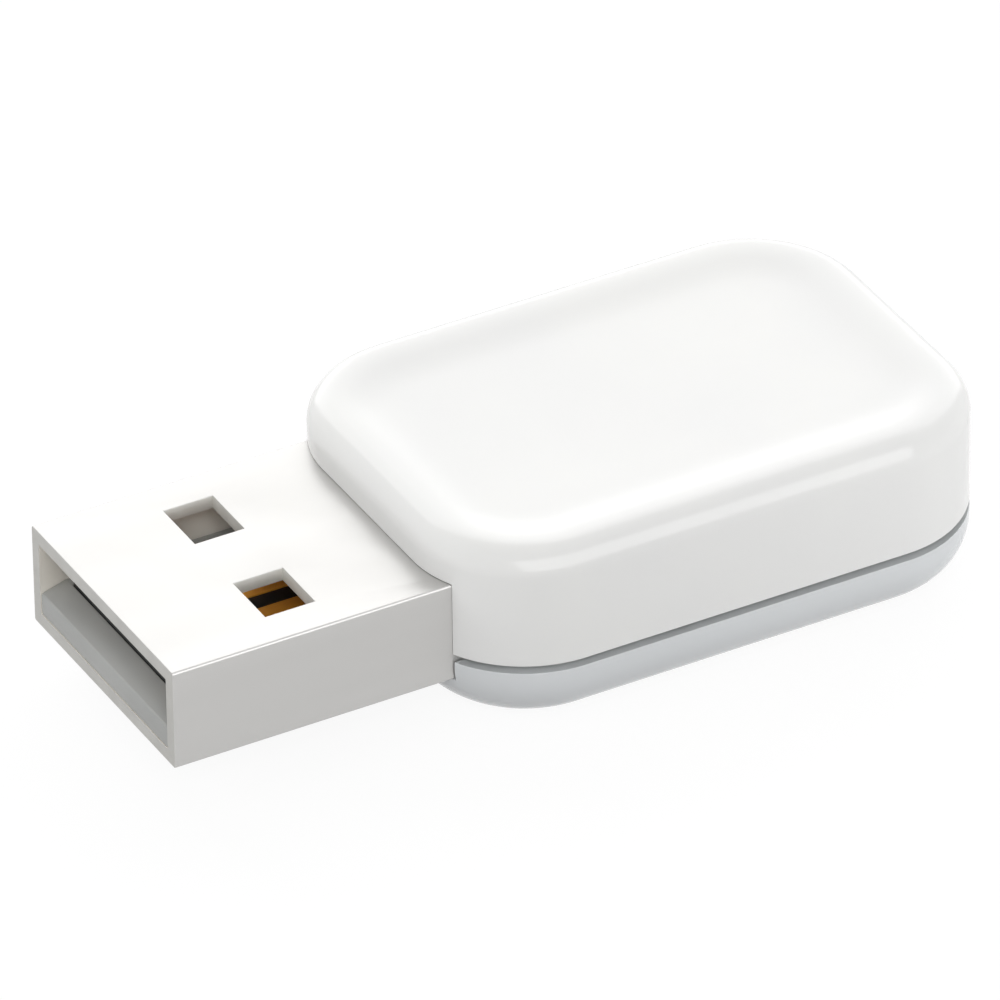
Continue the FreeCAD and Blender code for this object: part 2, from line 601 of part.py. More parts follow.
def edges_where(feature, test):
    """The names of a feature's edges whose every end passes a test."""
    names = []
    for index, edge in enumerate(feature.Shape.Edges, start=1):
        if all(test(vertex.Point) for vertex in edge.Vertexes):
            names.append(f"Edge{index}")
    return names


def bevel_edges(body, feature, test, size):
    """A bevel along each edge of a feature whose every end passes a test."""
    bevel = body.newObject("PartDesign::Chamfer", f"{feature.Name}_bevel")
    bevel.Base = (feature, edges_where(feature, test))
    bevel.setExpression("Size", size)
    DOCUMENT.recompute()
    return bevel


def make_usb_shell():
    """The plug's shell: one folded sheet with four windows, a locked slit and two soldered legs."""
    body = plug_body("usb_shell")
    half_width = "(sizes.plug_width / 2)"
    outside = new_sketch(body, "outside", "YZ_Plane")
    rounded_rectangle(
        outside, f"-{half_width}", half_width, "-places.half_plug", "places.half_plug", "sizes.bend_radius",
    )
    tube = pad(body, outside, "places.shell_end")
    bevel_edges(body, tube, lambda point: abs(point.x) < TINY, "sizes.mouth_bevel")
    inside = new_sketch(body, "inside", "YZ_Plane", "places.shell_end + sizes.sheet")
    rounded_rectangle(
        inside, "-places.half_mouth", "places.half_mouth", "-places.mouth_top", "places.mouth_top",
        "sizes.inner_bend",
    )
    pocket(body, inside, "places.shell_end + 2 * sizes.sheet")
    windows = new_sketch(body, "windows", "XY_Plane")
    for tag, side in (("right", "-"), ("left", "")):
        middle = f"{side}sizes.window_spacing / 2"
        rectangle(
            windows, "sizes.window_setback", "sizes.window_setback + sizes.window_length",
            f"{middle} - sizes.window_width / 2", f"{middle} + sizes.window_width / 2", tag,
        )
    pocket(body, windows, "2 * sizes.plug_height", midplane=True)
    cut_fold(body)
    add_legs(body)
    return body


def cut_fold(body):
    """The slit where the sheet's two ends meet under the plug, round a dovetail that locks them."""
    gap = "sizes.fold_gap / 2"
    root = "sizes.lock_length / 2"
    flared = f"{root} + sizes.lock_flare"
    slit = new_sketch(body, "fold", "XY_Plane", "-places.mouth_top")
    outline(slit, (
        ("sizes.fold_start", f"-{gap}"),
        (f"places.lock_x - ({root}) + {gap}", f"-{gap}"),
        (f"places.lock_x - ({flared}) + {gap}", f"sizes.lock_reach - {gap}"),
        (f"places.lock_x + {flared} - {gap}", f"sizes.lock_reach - {gap}"),
        (f"places.lock_x + {root} - {gap}", f"-{gap}"),
        ("places.shell_end + sizes.sheet", f"-{gap}"),
        ("places.shell_end + sizes.sheet", gap),
        (f"places.lock_x + {root} + {gap}", gap),
        (f"places.lock_x + {flared} + {gap}", f"sizes.lock_reach + {gap}"),
        (f"places.lock_x - ({flared}) - {gap}", f"sizes.lock_reach + {gap}"),
        (f"places.lock_x - ({root}) - {gap}", gap),
        ("sizes.fold_start", gap),
    ))
    pocket(body, slit, "2 * sizes.sheet")


def add_legs(body):
    """The tube's two sides run on as legs on the board, each with a peg down through it."""
    for tag, place in (("left", "-sizes.plug_width / 2"), ("right", "places.half_mouth")):
        leg = new_sketch(body, f"{tag}_leg", "XZ_Plane", place)
        peg_foot = "places.foot_bottom - sizes.peg_drop"
        outline(leg, (
            ("places.shell_end - sizes.sheet", "places.foot_bottom"),
            ("places.peg_end - sizes.peg_length", "places.foot_bottom"),
            ("places.peg_end - sizes.peg_length", f"{peg_foot} + sizes.bend_radius"),
            ("places.peg_end - sizes.peg_length + sizes.bend_radius", peg_foot),
            ("places.peg_end - sizes.bend_radius", peg_foot),
            ("places.peg_end", f"{peg_foot} + sizes.bend_radius"),
            ("places.peg_end", "places.foot_bottom"),
            ("places.leg_end", "places.foot_bottom"),
            ("places.leg_end", "places.foot_bottom + sizes.leg_height"),
            ("places.shell_end - sizes.sheet", "places.foot_bottom + sizes.leg_height"),
        ))
        pad(body, leg, "sizes.sheet")


def make_usb_insulator():
    """The moulded tongue and rear block in the shell, hollowed for the contact bed and the strips."""
    body = plug_body("usb_insulator")
    tongue = new_sketch(body, "tongue", "YZ_Plane", "sizes.tongue_setback")
    corner = "sizes.insulator_corner"
    low_corner = f"places.tongue_bottom + {corner}"
    outline(tongue, (
        ("-places.half_insulator", low_corner),
        (f"{corner} - places.half_insulator", "places.tongue_bottom", corner, 1),
        (f"places.half_insulator - {corner}", "places.tongue_bottom"),
        ("places.half_insulator", low_corner, corner, 1),
        ("places.half_insulator", "places.tongue_top"),
        ("-places.half_insulator", "places.tongue_top"),
    ))
    pad(body, tongue, "places.block_end - sizes.tongue_setback")
    # The tongue's front is lower, and a ramp leads up to its flat top.
    ramp = new_sketch(body, "ramp", "XZ_Plane", "places.half_mouth")
    outline(ramp, (
        ("0", "places.nose_z"),
        ("sizes.tongue_setback", "places.nose_z"),
        ("sizes.tongue_setback + sizes.ramp_length", "places.tongue_top"),
        ("sizes.tongue_setback + sizes.ramp_length", "places.mouth_top"),
        ("0", "places.mouth_top"),
    ))
    sloped = pocket(body, ramp, "2 * places.half_mouth")
    front_x, nose_z = number("sizes.tongue_setback"), number("places.nose_z")
    bevel_edges(
        body, sloped, lambda point: abs(point.x - front_x) < TINY and abs(point.z - nose_z) < TINY,
        "sizes.nose_bevel",
    )
    block = new_sketch(body, "block", "YZ_Plane", "sizes.block_start")
    rounded_rectangle(
        block, "-places.half_insulator", "places.half_insulator", "places.tongue_bottom",
        "-places.tongue_bottom", "sizes.insulator_corner",
    )
    pad(body, block, "places.block_end - sizes.block_start")
    hollow = new_sketch(body, "hollow", "YZ_Plane", "places.block_end + sizes.bed_clearance")
    rectangle(
        hollow, "-places.half_bed - sizes.bed_clearance", "places.half_bed + sizes.bed_clearance",
        "places.bed_bottom", "places.bed_top + sizes.bed_clearance",
    )
    pocket(body, hollow, "places.block_end - sizes.bed_setback + 2 * sizes.bed_clearance")
    slots = new_sketch(body, "slots", "YZ_Plane", "places.block_end + sizes.bed_clearance")
    half_slot = "(sizes.contact_width / 2 + sizes.contact_clearance)"
    for label, across, setback in CONTACTS:
        rectangle(
            slots, f"{across} - {half_slot}", f"{across} + {half_slot}",
            "places.tongue_top", "places.contact_top + sizes.contact_clearance", label,
        )
    pocket(body, slots, "places.block_end - sizes.block_start + 2 * sizes.bed_clearance")
    return body


def make_contact_bed():
    """The black plate let into the tongue and standing out of it, with a channel for each strip."""
    body = plug_body("contact_bed")
    plate = new_sketch(body, "plate", "YZ_Plane", "sizes.bed_setback")
    rectangle(plate, "-places.half_bed", "places.half_bed", "places.bed_bottom", "places.bed_top")
    pad(body, plate, "places.block_end - sizes.bed_setback")
    half_slot = "(sizes.contact_width / 2 + sizes.contact_clearance)"
    for label, across, setback in CONTACTS:
        # The sketch's plane faces right, so its cut runs to the left from the channel's right side.
        channel = new_sketch(body, label, "XZ_Plane", f"{half_slot} - ({across})")
        outline(channel, (
            (f"{setback} - sizes.contact_clearance", "places.contact_bottom - sizes.tip_drop"),
            (setback, "places.contact_bottom - sizes.tip_drop"),
            (f"{setback} + sizes.tip_length", "places.contact_bottom"),
            ("places.block_end + sizes.bed_clearance", "places.contact_bottom"),
            ("places.block_end + sizes.bed_clearance", "places.contact_top"),
            (f"{setback} - sizes.contact_clearance", "places.contact_top"),
        ))
        pocket(body, channel, f"2 * {half_slot}")
    return body


def make_contact(label, across, setback):
    """One stamped strip: a dipping tip, a straight run on the bed, and a step down to its foot."""
    body = plug_body(label, y=across)
    side = new_sketch(body, "side", "XZ_Plane")
    step = "places.block_end + sizes.tail_gap"
    foot_end = "places.foot_start + sizes.foot_length"
    outline(side, (
        (setback, "places.contact_bottom - sizes.tip_drop"),
        (f"{setback} + sizes.tip_length", "places.contact_bottom"),
        (step, "places.contact_bottom"),
        ("places.foot_start", "places.foot_bottom"),
        (foot_end, "places.foot_bottom"),
        (foot_end, "places.foot_bottom + sizes.contact_thickness"),
        ("places.foot_start", "places.foot_bottom + sizes.contact_thickness"),
        (step, "places.contact_top"),
        (f"{setback} + sizes.tip_length", "places.contact_top"),
        (setback, "places.contact_top - sizes.tip_drop"),
    ))
    pad(body, side, "sizes.contact_width", midplane=True)
    return body


def board_body(label, name, along="0", across="0", under=False):
    """A body whose own origin is a part's middle on the board's top face, or on its underside."""
    body = new_body(label)
    if under:
        # Turned over about the stick's length, so that its own +Z points away from the board.
        body.Placement = FreeCAD.Placement(VECTOR(0, 0, 0), FreeCAD.Rotation(VECTOR(1, 0, 0), 180))
    body.setExpression("Placement.Base.x", f"places.board_x + places.{name}_along + {along}")
    body.setExpression("Placement.Base.y", f"places.{name}_across + {across}")
    body.setExpression("Placement.Base.z", "places.board_bottom_z" if under else "places.board_top_z")
    return body


def row_pattern(body, feature, axis, count, pitch):
    """Repeats a feature along one of the body's axes. It becomes the body's last feature."""
    pattern = body.newObject("PartDesign::LinearPattern", f"{feature.Name}_row")
    pattern.Originals = [feature]
    pattern.Direction = (next(item for item in body.Origin.OriginFeatures if item.Role == axis), [""])
    pattern.setExpression("Occurrences", count)
    pattern.setExpression("Length", f"({count} - 1) * {pitch}")
    body.Tip = pattern
    DOCUMENT.recompute()
    return pattern


def make_circuit_board():
    """The board: square in front, rounded behind, with two pin holes and two slots for the pegs."""
    body = new_body("circuit_board", x="places.board_x", z="places.board_bottom_z")
    half = "(places.board_width / 2)"
    plan = new_sketch(body, "plan", "XY_Plane")
    outline(plan, (
        ("0", f"-{half}"),
        ("places.board_length - places.board_corner", f"-{half}"),
        ("places.board_length", f"places.board_corner - {half}", "places.board_corner", 1),
        ("places.board_length", f"{half} - places.board_corner"),
        ("places.board_length - places.board_corner", half, "places.board_corner", 1),
        ("0", half),
    ))
    pad(body, plan, "sizes.board_thickness")
    holes = new_sketch(body, "holes", "XY_Plane")
    slot_end = "places.peg_end - places.board_start + sizes.slot_clearance"
    slot_start = "places.peg_end - sizes.peg_length - places.board_start - sizes.slot_clearance"
    slot_out = "(sizes.plug_width / 2 + sizes.slot_clearance)"
    slot_in = "(places.half_mouth - sizes.slot_clearance)"
    for tag, side in (("right", "-"), ("left", "")):
        circle(
            holes, "places.pin_along", f"{side}places.pin_y",
            "sizes.pin_diameter + 2 * sizes.pin_clearance", f"{tag}_pin",
        )
        near, far = (f"-{slot_out}", f"-{slot_in}") if side else (slot_in, slot_out)
        rectangle(holes, slot_start, slot_end, near, far, f"{tag}_slot")
    pocket(body, holes, "3 * sizes.board_thickness", midplane=True)
    return body


def make_shield_can():
    """The drawn cover over the radio section: thin walls, rounded edges and a field of vent holes."""
    body = board_body("shield_can", "shield_can")
    half_length = "(sizes.shield_can_length / 2)"
    half_width = "(sizes.shield_can_width / 2)"
    outside = new_sketch(body, "outside", "XY_Plane")
    rounded_rectangle(
        outside, f"-{half_length}", half_length, f"-{half_width}", half_width, "sizes.can_corner",
    )
    block = pad(body, outside, "sizes.shield_can_height")
    top = number("sizes.shield_can_height") - TINY
    bevel_edges(body, block, lambda point: point.z > top, "sizes.can_edge")
    inside = new_sketch(body, "inside", "XY_Plane", "sizes.shield_can_height - sizes.can_sheet")
    rounded_rectangle(
        inside, f"sizes.can_sheet - {half_length}", f"{half_length} - sizes.can_sheet",
        f"sizes.can_sheet - {half_width}", f"{half_width} - sizes.can_sheet",
        "(sizes.can_corner - sizes.can_sheet)",
    )
    pocket(body, inside, "sizes.shield_can_height")
    vents = new_sketch(body, "vents", "XY_Plane", "sizes.shield_can_height + sizes.can_sheet")
    rows = int(number("(sizes.shield_can_length - 2 * sizes.can_corner) / sizes.vent_pitch"))
    columns = int(number("(sizes.shield_can_width - 2 * sizes.can_corner) / sizes.vent_pitch"))
    for row in range(rows):
        for column in range(columns):
            circle(
                vents, f"({row} - {(rows - 1) / 2}) * sizes.vent_pitch",
                f"({column} - {(columns - 1) / 2}) * sizes.vent_pitch",
                "sizes.vent_diameter", f"vent_{row}_{column}",
            )
    pocket(body, vents, "3 * sizes.can_sheet")
    return body


def make_antenna():
    """The stamped antenna: a slotted plate over the board's far edge, on three bent legs."""
    body = board_body("antenna", "antenna")
    half_length = "(sizes.antenna_length / 2)"
    half_width = "(sizes.antenna_width / 2)"
    plate = new_sketch(body, "plate", "XY_Plane", "sizes.antenna_height - sizes.antenna_sheet")
    rectangle(plate, f"-{half_length}", half_length, f"-{half_width}", half_width)
    pad(body, plate, "sizes.antenna_sheet")
    slots = new_sketch(body, "slots", "XY_Plane", "sizes.antenna_height + sizes.antenna_sheet")
    count = int(number("sizes.antenna_width / (sizes.antenna_strip + sizes.antenna_slot)")) - 1
    for index in range(count):
        low = f"({index + 1} * sizes.antenna_strip + {index} * sizes.antenna_slot - {half_width})"
        ends = (f"-{half_length} - sizes.antenna_sheet", f"{half_length} - sizes.antenna_spine")
        if index % 2:
            ends = (f"sizes.antenna_spine - {half_length}", f"{half_length} + sizes.antenna_sheet")
        rectangle(slots, ends[0], ends[1], low, f"{low} + sizes.antenna_slot", f"slot_{index}")
    pocket(body, slots, "3 * sizes.antenna_sheet")
    legs = new_sketch(body, "legs", "XY_Plane")
    first, second = f"-{half_width}", f"(sizes.antenna_strip + sizes.antenna_slot - {half_width})"
    last = f"({half_width} - sizes.antenna_strip)"
    for tag, low in (("feed", first), ("ground", second), ("support", last)):
        rectangle(
            legs, f"-{half_length}", f"sizes.antenna_sheet - {half_length}",
            low, f"{low} + sizes.antenna_strip", tag,
        )
    pad(body, legs, "sizes.antenna_height - sizes.antenna_sheet / 2")
    return body


def moulded_block(body, name, foot):
    """The moulded block of a package, bevelled round its top."""
    half_length = f"(sizes.{name}_length / 2)"
    half_width = f"(sizes.{name}_width / 2)"
    plan = new_sketch(body, "plan", "XY_Plane", foot)
    rectangle(plan, f"-{half_length}", half_length, f"-{half_width}", half_width)
    block = pad(body, plan, f"sizes.{name}_height - {foot}")
    top = number(f"sizes.{name}_height") - TINY
    bevel_edges(body, block, lambda point: point.z > top, "sizes.chip_bevel")


def flat_package(body, name):
    """A flat package: a mark on top, and terminals low on each side, each strip showing at both ends."""
    moulded_block(body, name, "0")
    mark = new_sketch(body, "mark", "XY_Plane", f"sizes.{name}_height + sizes.dimple_depth")
    circle(
        mark, f"sizes.dimple_inset - sizes.{name}_length / 2", f"sizes.dimple_inset - sizes.{name}_width / 2",
        "sizes.dimple_diameter",
    )
    pocket(body, mark, "2 * sizes.dimple_depth")
    for axis, along, across in (("X_Axis", "length", "width"), ("Y_Axis", "width", "length")):
        count = f"floor((sizes.{name}_{along} - 2 * sizes.land_margin) / sizes.land_pitch)"
        start = f"-({count} - 1) / 2 * sizes.land_pitch"
        reach = f"(sizes.{name}_{across} / 2 + sizes.land_proud)"
        strip = new_sketch(body, f"lands_{along}", "XY_Plane")
        lands = (f"{start} - sizes.land_width / 2", f"{start} + sizes.land_width / 2")
        if axis == "X_Axis":
            rectangle(strip, lands[0], lands[1], f"-{reach}", reach)
        else:
            rectangle(strip, f"-{reach}", reach, lands[0], lands[1])
        row_pattern(body, pad(body, strip, "sizes.land_height"), axis, count, "sizes.land_pitch")


def leaded_package(body, name):
    """A package on bent leads: each strip runs through the block and stands on a foot at either side."""
    moulded_block(body, name, "sizes.standoff")
    half_width = f"sizes.{name}_width / 2"
    knee = f"({half_width} + sizes.lead_knee)"
    reach = f"({half_width} + sizes.lead_reach)"
    count = f"floor(sizes.{name}_length / sizes.lead_pitch)"
    start = f"-({count} - 1) / 2 * sizes.lead_pitch"
    lead = new_sketch(body, "lead", "YZ_Plane", f"{start} - sizes.lead_width / 2")
    outline(lead, (
        (knee, "0"),
        (reach, "0"),
        (reach, "sizes.lead_sheet"),
        (f"{knee} + sizes.lead_sheet", "sizes.lead_sheet"),
        (f"{knee} + sizes.lead_sheet", "sizes.lead_rise - sizes.lead_sheet"),
        (knee, "sizes.lead_rise"),
        (f"-{knee}", "sizes.lead_rise"),
        (f"-{knee} - sizes.lead_sheet", "sizes.lead_rise - sizes.lead_sheet"),
        (f"-{knee} - sizes.lead_sheet", "sizes.lead_sheet"),
        (f"-{reach}", "sizes.lead_sheet"),
        (f"-{reach}", "0"),
        (f"-{knee}", "0"),
        (f"-{knee}", "sizes.lead_rise - sizes.lead_sheet"),
        (knee, "sizes.lead_rise - sizes.lead_sheet"),
    ))
    row_pattern(body, pad(body, lead, "sizes.lead_width"), "X_Axis", count, "sizes.lead_pitch")


def canned_package(body, name):
    """A square ceramic base with a welded lid, rounded at its corners and set in from the edge."""
    half_length = f"(sizes.{name}_length / 2)"
    half_width = f"(sizes.{name}_width / 2)"
    base = new_sketch(body, "base", "XY_Plane")
    rectangle(base, f"-{half_length}", half_length, f"-{half_width}", half_width)
    pad(body, base, f"sizes.{name}_height - sizes.lid_height")
    lid = new_sketch(body, "lid", "XY_Plane")
    inset = "sizes.lid_inset"
    rounded_rectangle(
        lid, f"{inset} - {half_length}", f"{half_length} - {inset}",
        f"{inset} - {half_width}", f"{half_width} - {inset}", "sizes.lid_inset",
    )
    pad(body, lid, f"sizes.{name}_height")


def capped_chip(body, name):
    """A chip with two metal ends that stand a little above its body all round."""
    half_length = f"(sizes.{name}_length / 2)"
    for part, start, end, inset in (
        ("body", f"-{half_length}", half_length, "sizes.cap_proud"),
        ("near_end", f"-{half_length}", f"sizes.cap_length - {half_length}", "0"),
        ("far_end", f"{half_length} - sizes.cap_length", half_length, "0"),
    ):
        plan = new_sketch(body, part, "XY_Plane", inset)
        half_width = f"(sizes.{name}_width / 2 - {inset})"
        rectangle(plan, start, end, f"-{half_width}", half_width)
        pad(body, plan, f"sizes.{name}_height - 2 * {inset}")


# The packages: name, how it is made, and whether it hangs under the board.
PACKAGES = (
    ("radio_chip", flat_package, False),
    ("radio_crystal", canned_package, False),
    ("band_filter", canned_package, False),
    ("usb_bridge_chip", flat_package, True),
    ("flash_memory", leaded_package, True),
    ("voltage_regulator", leaded_package, False),
    ("esd_array", leaded_package, False),
    ("resettable_fuse", capped_chip, False),
    ("ground_ferrite", capped_chip, False),
    ("bulk_capacitor", capped_chip, False),
)


def make_packages():
    """The packages on the board, then the rows of small chips beside the shield can."""
    parts = []
    for name, make, under in PACKAGES:
        body = board_body(name, name, under=under)
        make(body, name)
        parts.append(body)
    rows = (("ceramic_capacitor", CAPACITOR_STEPS, 1), ("chip_resistor", RESISTOR_STEPS, -1))
    for name, steps, side in rows:
        for index, (along, across) in enumerate(steps, start=1):
            body = board_body(
                f"{name}_{index}", name, f"{along} * (sizes.{name}_length + sizes.part_gap)",
                f"{side * across} * (sizes.{name}_width + sizes.part_gap)",
            )
            capped_chip(body, name)
            parts.append(body)
    return parts


def make_all():
    """Every sub-part, in the order in which the stick is put together."""
    parts = [make_bottom_housing(), make_usb_shell(), make_usb_insulator(), make_contact_bed()]
    parts += [make_contact(*row) for row in CONTACTS]
    parts += [make_circuit_board(), make_shield_can(), make_antenna()]
    parts += make_packages()
    parts.append(make_top_housing())
    return parts


def check_document(parts):
    """Stops with a message if any object failed or any sub-part has no sound shape."""
    for item in DOCUMENT.Objects:
        if "Invalid" in item.State or "Error" in item.State:
            raise RuntimeError(f"{item.Name} failed: {item.State}")
    for part in parts:
        if part.Shape.isNull() or not part.Shape.isValid():
            raise RuntimeError(f"{part.Label} has no sound shape")


make_sheet()
PLACES = make_places()
PARTS = make_all()
DOCUMENT.recompute()
check_document(PARTS)
os.makedirs("parts", exist_ok=True)
for part in PARTS:
    part.Shape.exportStep(f"parts/{part.Label}.step")
    box = part.Shape.BoundBox
    print(
        f"{part.Label}: {len(part.Shape.Solids)} solid, {part.Shape.Volume:.2f} cubic mm, "
        f"{box.XLength:.2f} x {box.YLength:.2f} x {box.ZLength:.2f} mm"
    )
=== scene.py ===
"""The looks of a short white radio stick for a type A socket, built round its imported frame.

A glossy two-part housing with a dished top carries a folded sheet plug. Lengths are
millimetres in the dataclasses and metres in the meshes. +X runs from the plug's mouth to the
closed end, +Y is the side away from the camera, and the floor is at the underside.
"""

import logging
import math
from collections.abc import Callable, Sequence
from dataclasses import dataclass
from enum import Enum

import bmesh
import bpy
from mathutils import Matrix, Vector


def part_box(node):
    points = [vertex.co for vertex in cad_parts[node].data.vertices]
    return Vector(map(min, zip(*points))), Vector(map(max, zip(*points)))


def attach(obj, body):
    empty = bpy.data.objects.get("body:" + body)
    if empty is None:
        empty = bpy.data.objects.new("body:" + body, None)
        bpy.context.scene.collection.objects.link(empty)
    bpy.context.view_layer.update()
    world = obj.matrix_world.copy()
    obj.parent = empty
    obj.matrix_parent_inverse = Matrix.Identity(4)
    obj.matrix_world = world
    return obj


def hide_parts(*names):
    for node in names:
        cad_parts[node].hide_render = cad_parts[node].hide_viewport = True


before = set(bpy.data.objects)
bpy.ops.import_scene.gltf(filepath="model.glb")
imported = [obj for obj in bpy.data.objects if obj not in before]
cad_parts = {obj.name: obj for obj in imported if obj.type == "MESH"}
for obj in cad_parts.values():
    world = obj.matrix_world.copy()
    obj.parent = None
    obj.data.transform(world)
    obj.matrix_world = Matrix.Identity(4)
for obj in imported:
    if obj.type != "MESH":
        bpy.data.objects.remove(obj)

LOG = logging.getLogger("radio_stick")
BODY = "root"
# One millimetre, in the scene's metres.
MM = 0.001
# Points nearer than this are one point, in metres.
WELD = 1e-7
# The largest turn between two points of an arc in a section, and its fewest spaces.
ARC_STEP = math.radians(5)
LEAST_ARC_SPACES = 2
# Spaces between the points of each rounded corner of a plan.
CORNER_SPACES = 28
# Sides of a round pin or hole.
ROUND_SIDES = 40
# Faces that meet at more than this angle keep a sharp edge between them.
SHARP_ANGLE = math.radians(32)
# Faces of the frame's meshes that meet at less than this angle become one.
FLAT_ANGLE = math.radians(0.5)
# Rows of faces across a rounded edge, on the mouldings and the sheet and on the small parts.
ROUNDING_ROWS = 3
SMALL_ROUNDING_ROWS = 2
# The bevel profile that is a part of a circle.
CIRCLE_PROFILE = 0.5
# How much of its normal a face has along the direction that it looks in.
FACING = 0.9
# Noise levels between which a finish goes from its one colour or gloss to its other.
PATCH_LEVELS = (0.35, 0.65)
GRAIN_LEVELS = (0.3, 0.7)
# Layers of finer noise in the patches and in the grain.
PATCH_DETAIL = 2.0
GRAIN_DETAIL = 3.0
# A number of bounces under this is none.
NO_BOUNCE = 0.5
# The node tree that sweeps a section round a plan.
SWEEP_TREE = "wall_sweep"


def linear(colour: str) -> tuple[float, float, float, float]:
    """Turns an sRGB hex colour into the linear one that shaders and lamps take.

    Args:
        colour: a hash sign and six hex digits.

    Returns:
        Red, green, blue and full alpha.
    """
    shares = [int(colour[start:start + 2], 16) / 255 for start in (1, 3, 5)]
    # The sRGB standard's own curve: a straight foot, and a power above it.
    red, green, blue = (share / 12.92 if share <= 0.04045 else ((share + 0.055) / 1.055) ** 2.4
                        for share in shares)
    return (red, green, blue, 1.0)


def add_node(tree: bpy.types.NodeTree, kind: str, settings: dict | None = None,
             inputs: dict | None = None) -> bpy.types.Node:
    """Adds one node with its settings and what its inputs take.

    Args:
        tree: the tree that the node goes into.
        kind: the node's type.
        settings: its properties by name.
        inputs: its inputs by name or number. A socket is linked, anything else is set.

    Returns:
        The new node.
    """
    node = tree.nodes.new(kind)
    for name, value in (settings or {}).items():
        setattr(node, name, value)
    for name, value in (inputs or {}).items():
        if isinstance(value, bpy.types.NodeSocket):
            tree.links.new(value, node.inputs[name])
        else:
            node.inputs[name].default_value = value
    return node


@dataclass(frozen=True)
class Finish:
    """What a surface is made of: its colour, a close second one, its gloss and its fine pattern.

    The patches of the second colour, the grain and the depth of its relief are in millimetres,
    and the pattern may be stretched along the stick.
    """

    name: str
    colour: str
    roughness: float
    metallic: float = 0.0
    ior: float = 1.5
    shade: str = ""
    patch: float = 4.0
    grain: float = 0.12
    grain_depth: float = 0.0004
    uneven: float = 0.04
    stretch: float = 1.0

    def material(self) -> bpy.types.Material:
        """The finish's material, made once and then shared."""
        return bpy.data.materials.get(self.name) or self.make()

    def make(self) -> bpy.types.Material:
        """Builds the material from the finish's own values.

        Returns:
            The new material.
        """
        material = bpy.data.materials.new(self.name)
        material.use_nodes = True
        tree = material.node_tree
        tree.nodes.clear()
        place = add_node(tree, "ShaderNodeTexCoord").outputs["Object"]
        along = add_node(tree, "ShaderNodeMapping", inputs={
            "Vector": place, "Scale": (1 / self.stretch, 1.0, 1.0),
        }).outputs["Vector"]
        # The plain colour stays for what doesn't follow links. A metal keeps the default IOR.
        shader = add_node(tree, "ShaderNodeBsdfPrincipled", inputs={
            "Base Color": linear(self.colour), "Metallic": self.metallic,
        })
        if not self.metallic:
            shader.inputs["IOR"].default_value = self.ior
        patches = add_node(tree, "ShaderNodeTexNoise", inputs={
            "Vector": along, "Scale": 1 / (self.patch * MM), "Detail": PATCH_DETAIL,
        }).outputs["Fac"]
        grains = add_node(tree, "ShaderNodeTexNoise", inputs={
            "Vector": along, "Scale": 1 / (self.grain * MM), "Detail": GRAIN_DETAIL,
        }).outputs["Fac"]
        tint = add_node(tree, "ShaderNodeMapRange", inputs={
            "Value": patches, "From Min": PATCH_LEVELS[0], "From Max": PATCH_LEVELS[1],
        }).outputs["Result"]
        mixed = add_node(tree, "ShaderNodeMix", {"data_type": "RGBA"}, {
            "Factor": tint, "A": linear(self.colour), "B": linear(self.shade or self.colour),
        })
        tree.links.new(mixed.outputs["Result"], shader.inputs["Base Color"])
        gloss = add_node(tree, "ShaderNodeMapRange", inputs={
            "Value": grains, "From Min": GRAIN_LEVELS[0], "From Max": GRAIN_LEVELS[1],
            "To Min": self.roughness - self.uneven, "To Max": self.roughness + self.uneven,
        })
        tree.links.new(gloss.outputs["Result"], shader.inputs["Roughness"])
        bump = add_node(tree, "ShaderNodeBump", inputs={
            "Height": grains, "Distance": self.grain_depth * MM, "Strength": 1.0,
        })
        tree.links.new(bump.outputs["Normal"], shader.inputs["Normal"])
        add_node(tree, "ShaderNodeOutputMaterial", inputs={"Surface": shader.outputs["BSDF"]})
        return material


# Gloss-moulded white ABS: a bright even skin, with lamps seen sharply in its rounded edges.
HOUSING_ABS = Finish(
    "gloss_moulded_white_abs", "#F4F4F2", 0.07, ior=1.53, shade="#F1F1F0", patch=9.0,
    grain=1.1, grain_depth=0.0006, uneven=0.02,
)
# The same ABS in the cooler white of the lower moulding, a faint blue beside the upper one, and darker as
# painted shade for the light that the underside misses.
BASE_ABS_PAINTED_SHADE = Finish(
    "cool_white_abs_painted_shade", "#E2E5E7", 0.12, ior=1.53, shade="#DFE2E4", patch=9.0,
    grain=1.1, grain_depth=0.0006, uneven=0.02,
)
# The lower moulding's ledge and lip where they show in the seam: matt grey as painted shade,
# standing for the shade in the gap, so the seam reads as a dark line.
SEAM_SHADE_ABS = Finish(
    "painted_seam_shade_abs", "#C6C9CA", 0.6, ior=1.53, shade="#C0C3C4", grain=0.08, grain_depth=0.001,
)
# Nickel-plated rolled steel sheet: pale satin metal that scatters a good part of its light, so
# it looks nearly white where a lamp falls on it, with a faint grain along the plug.
PLATED_STEEL = Finish(
    "nickel_plated_rolled_steel", "#C9C8C6", 0.34, metallic=0.6, shade="#C5C4C2", patch=3.0,
    grain=0.05, grain_depth=0.0003, stretch=14.0,
)
# The sheet's inner side: the same nickel, nearly matt, and painted paler as painted light, so the plug's
# inside reads lighter than its lamps make it.
INNER_STEEL_PAINTED_LIGHT = Finish(
    "inner_nickel_painted_light", "#F2EEE5", 0.66, metallic=0.1, shade="#EAE6DD", patch=1.5,
    grain=0.05, grain_depth=0.0006, uneven=0.06, stretch=6.0,
)
# The sheet's sheared edge round the mouth: dull steel, a little darker.
SHEARED_STEEL = Finish(
    "sheared_steel_edge", "#C0BFBB", 0.5, metallic=0.5, shade="#BAB9B5", patch=1.0, grain=0.04,
    grain_depth=0.0006,
)
# The cuts that the punch leaves in the windows: the same dull steel, a little paler as painted light, so
# the windows read lighter.
PUNCHED_STEEL_PAINTED_LIGHT = Finish(
    "punched_steel_cut_painted_light", "#DAD9D4", 0.5, metallic=0.5, shade="#D2D1CC", patch=1.0, grain=0.04,
    grain_depth=0.0006,
)
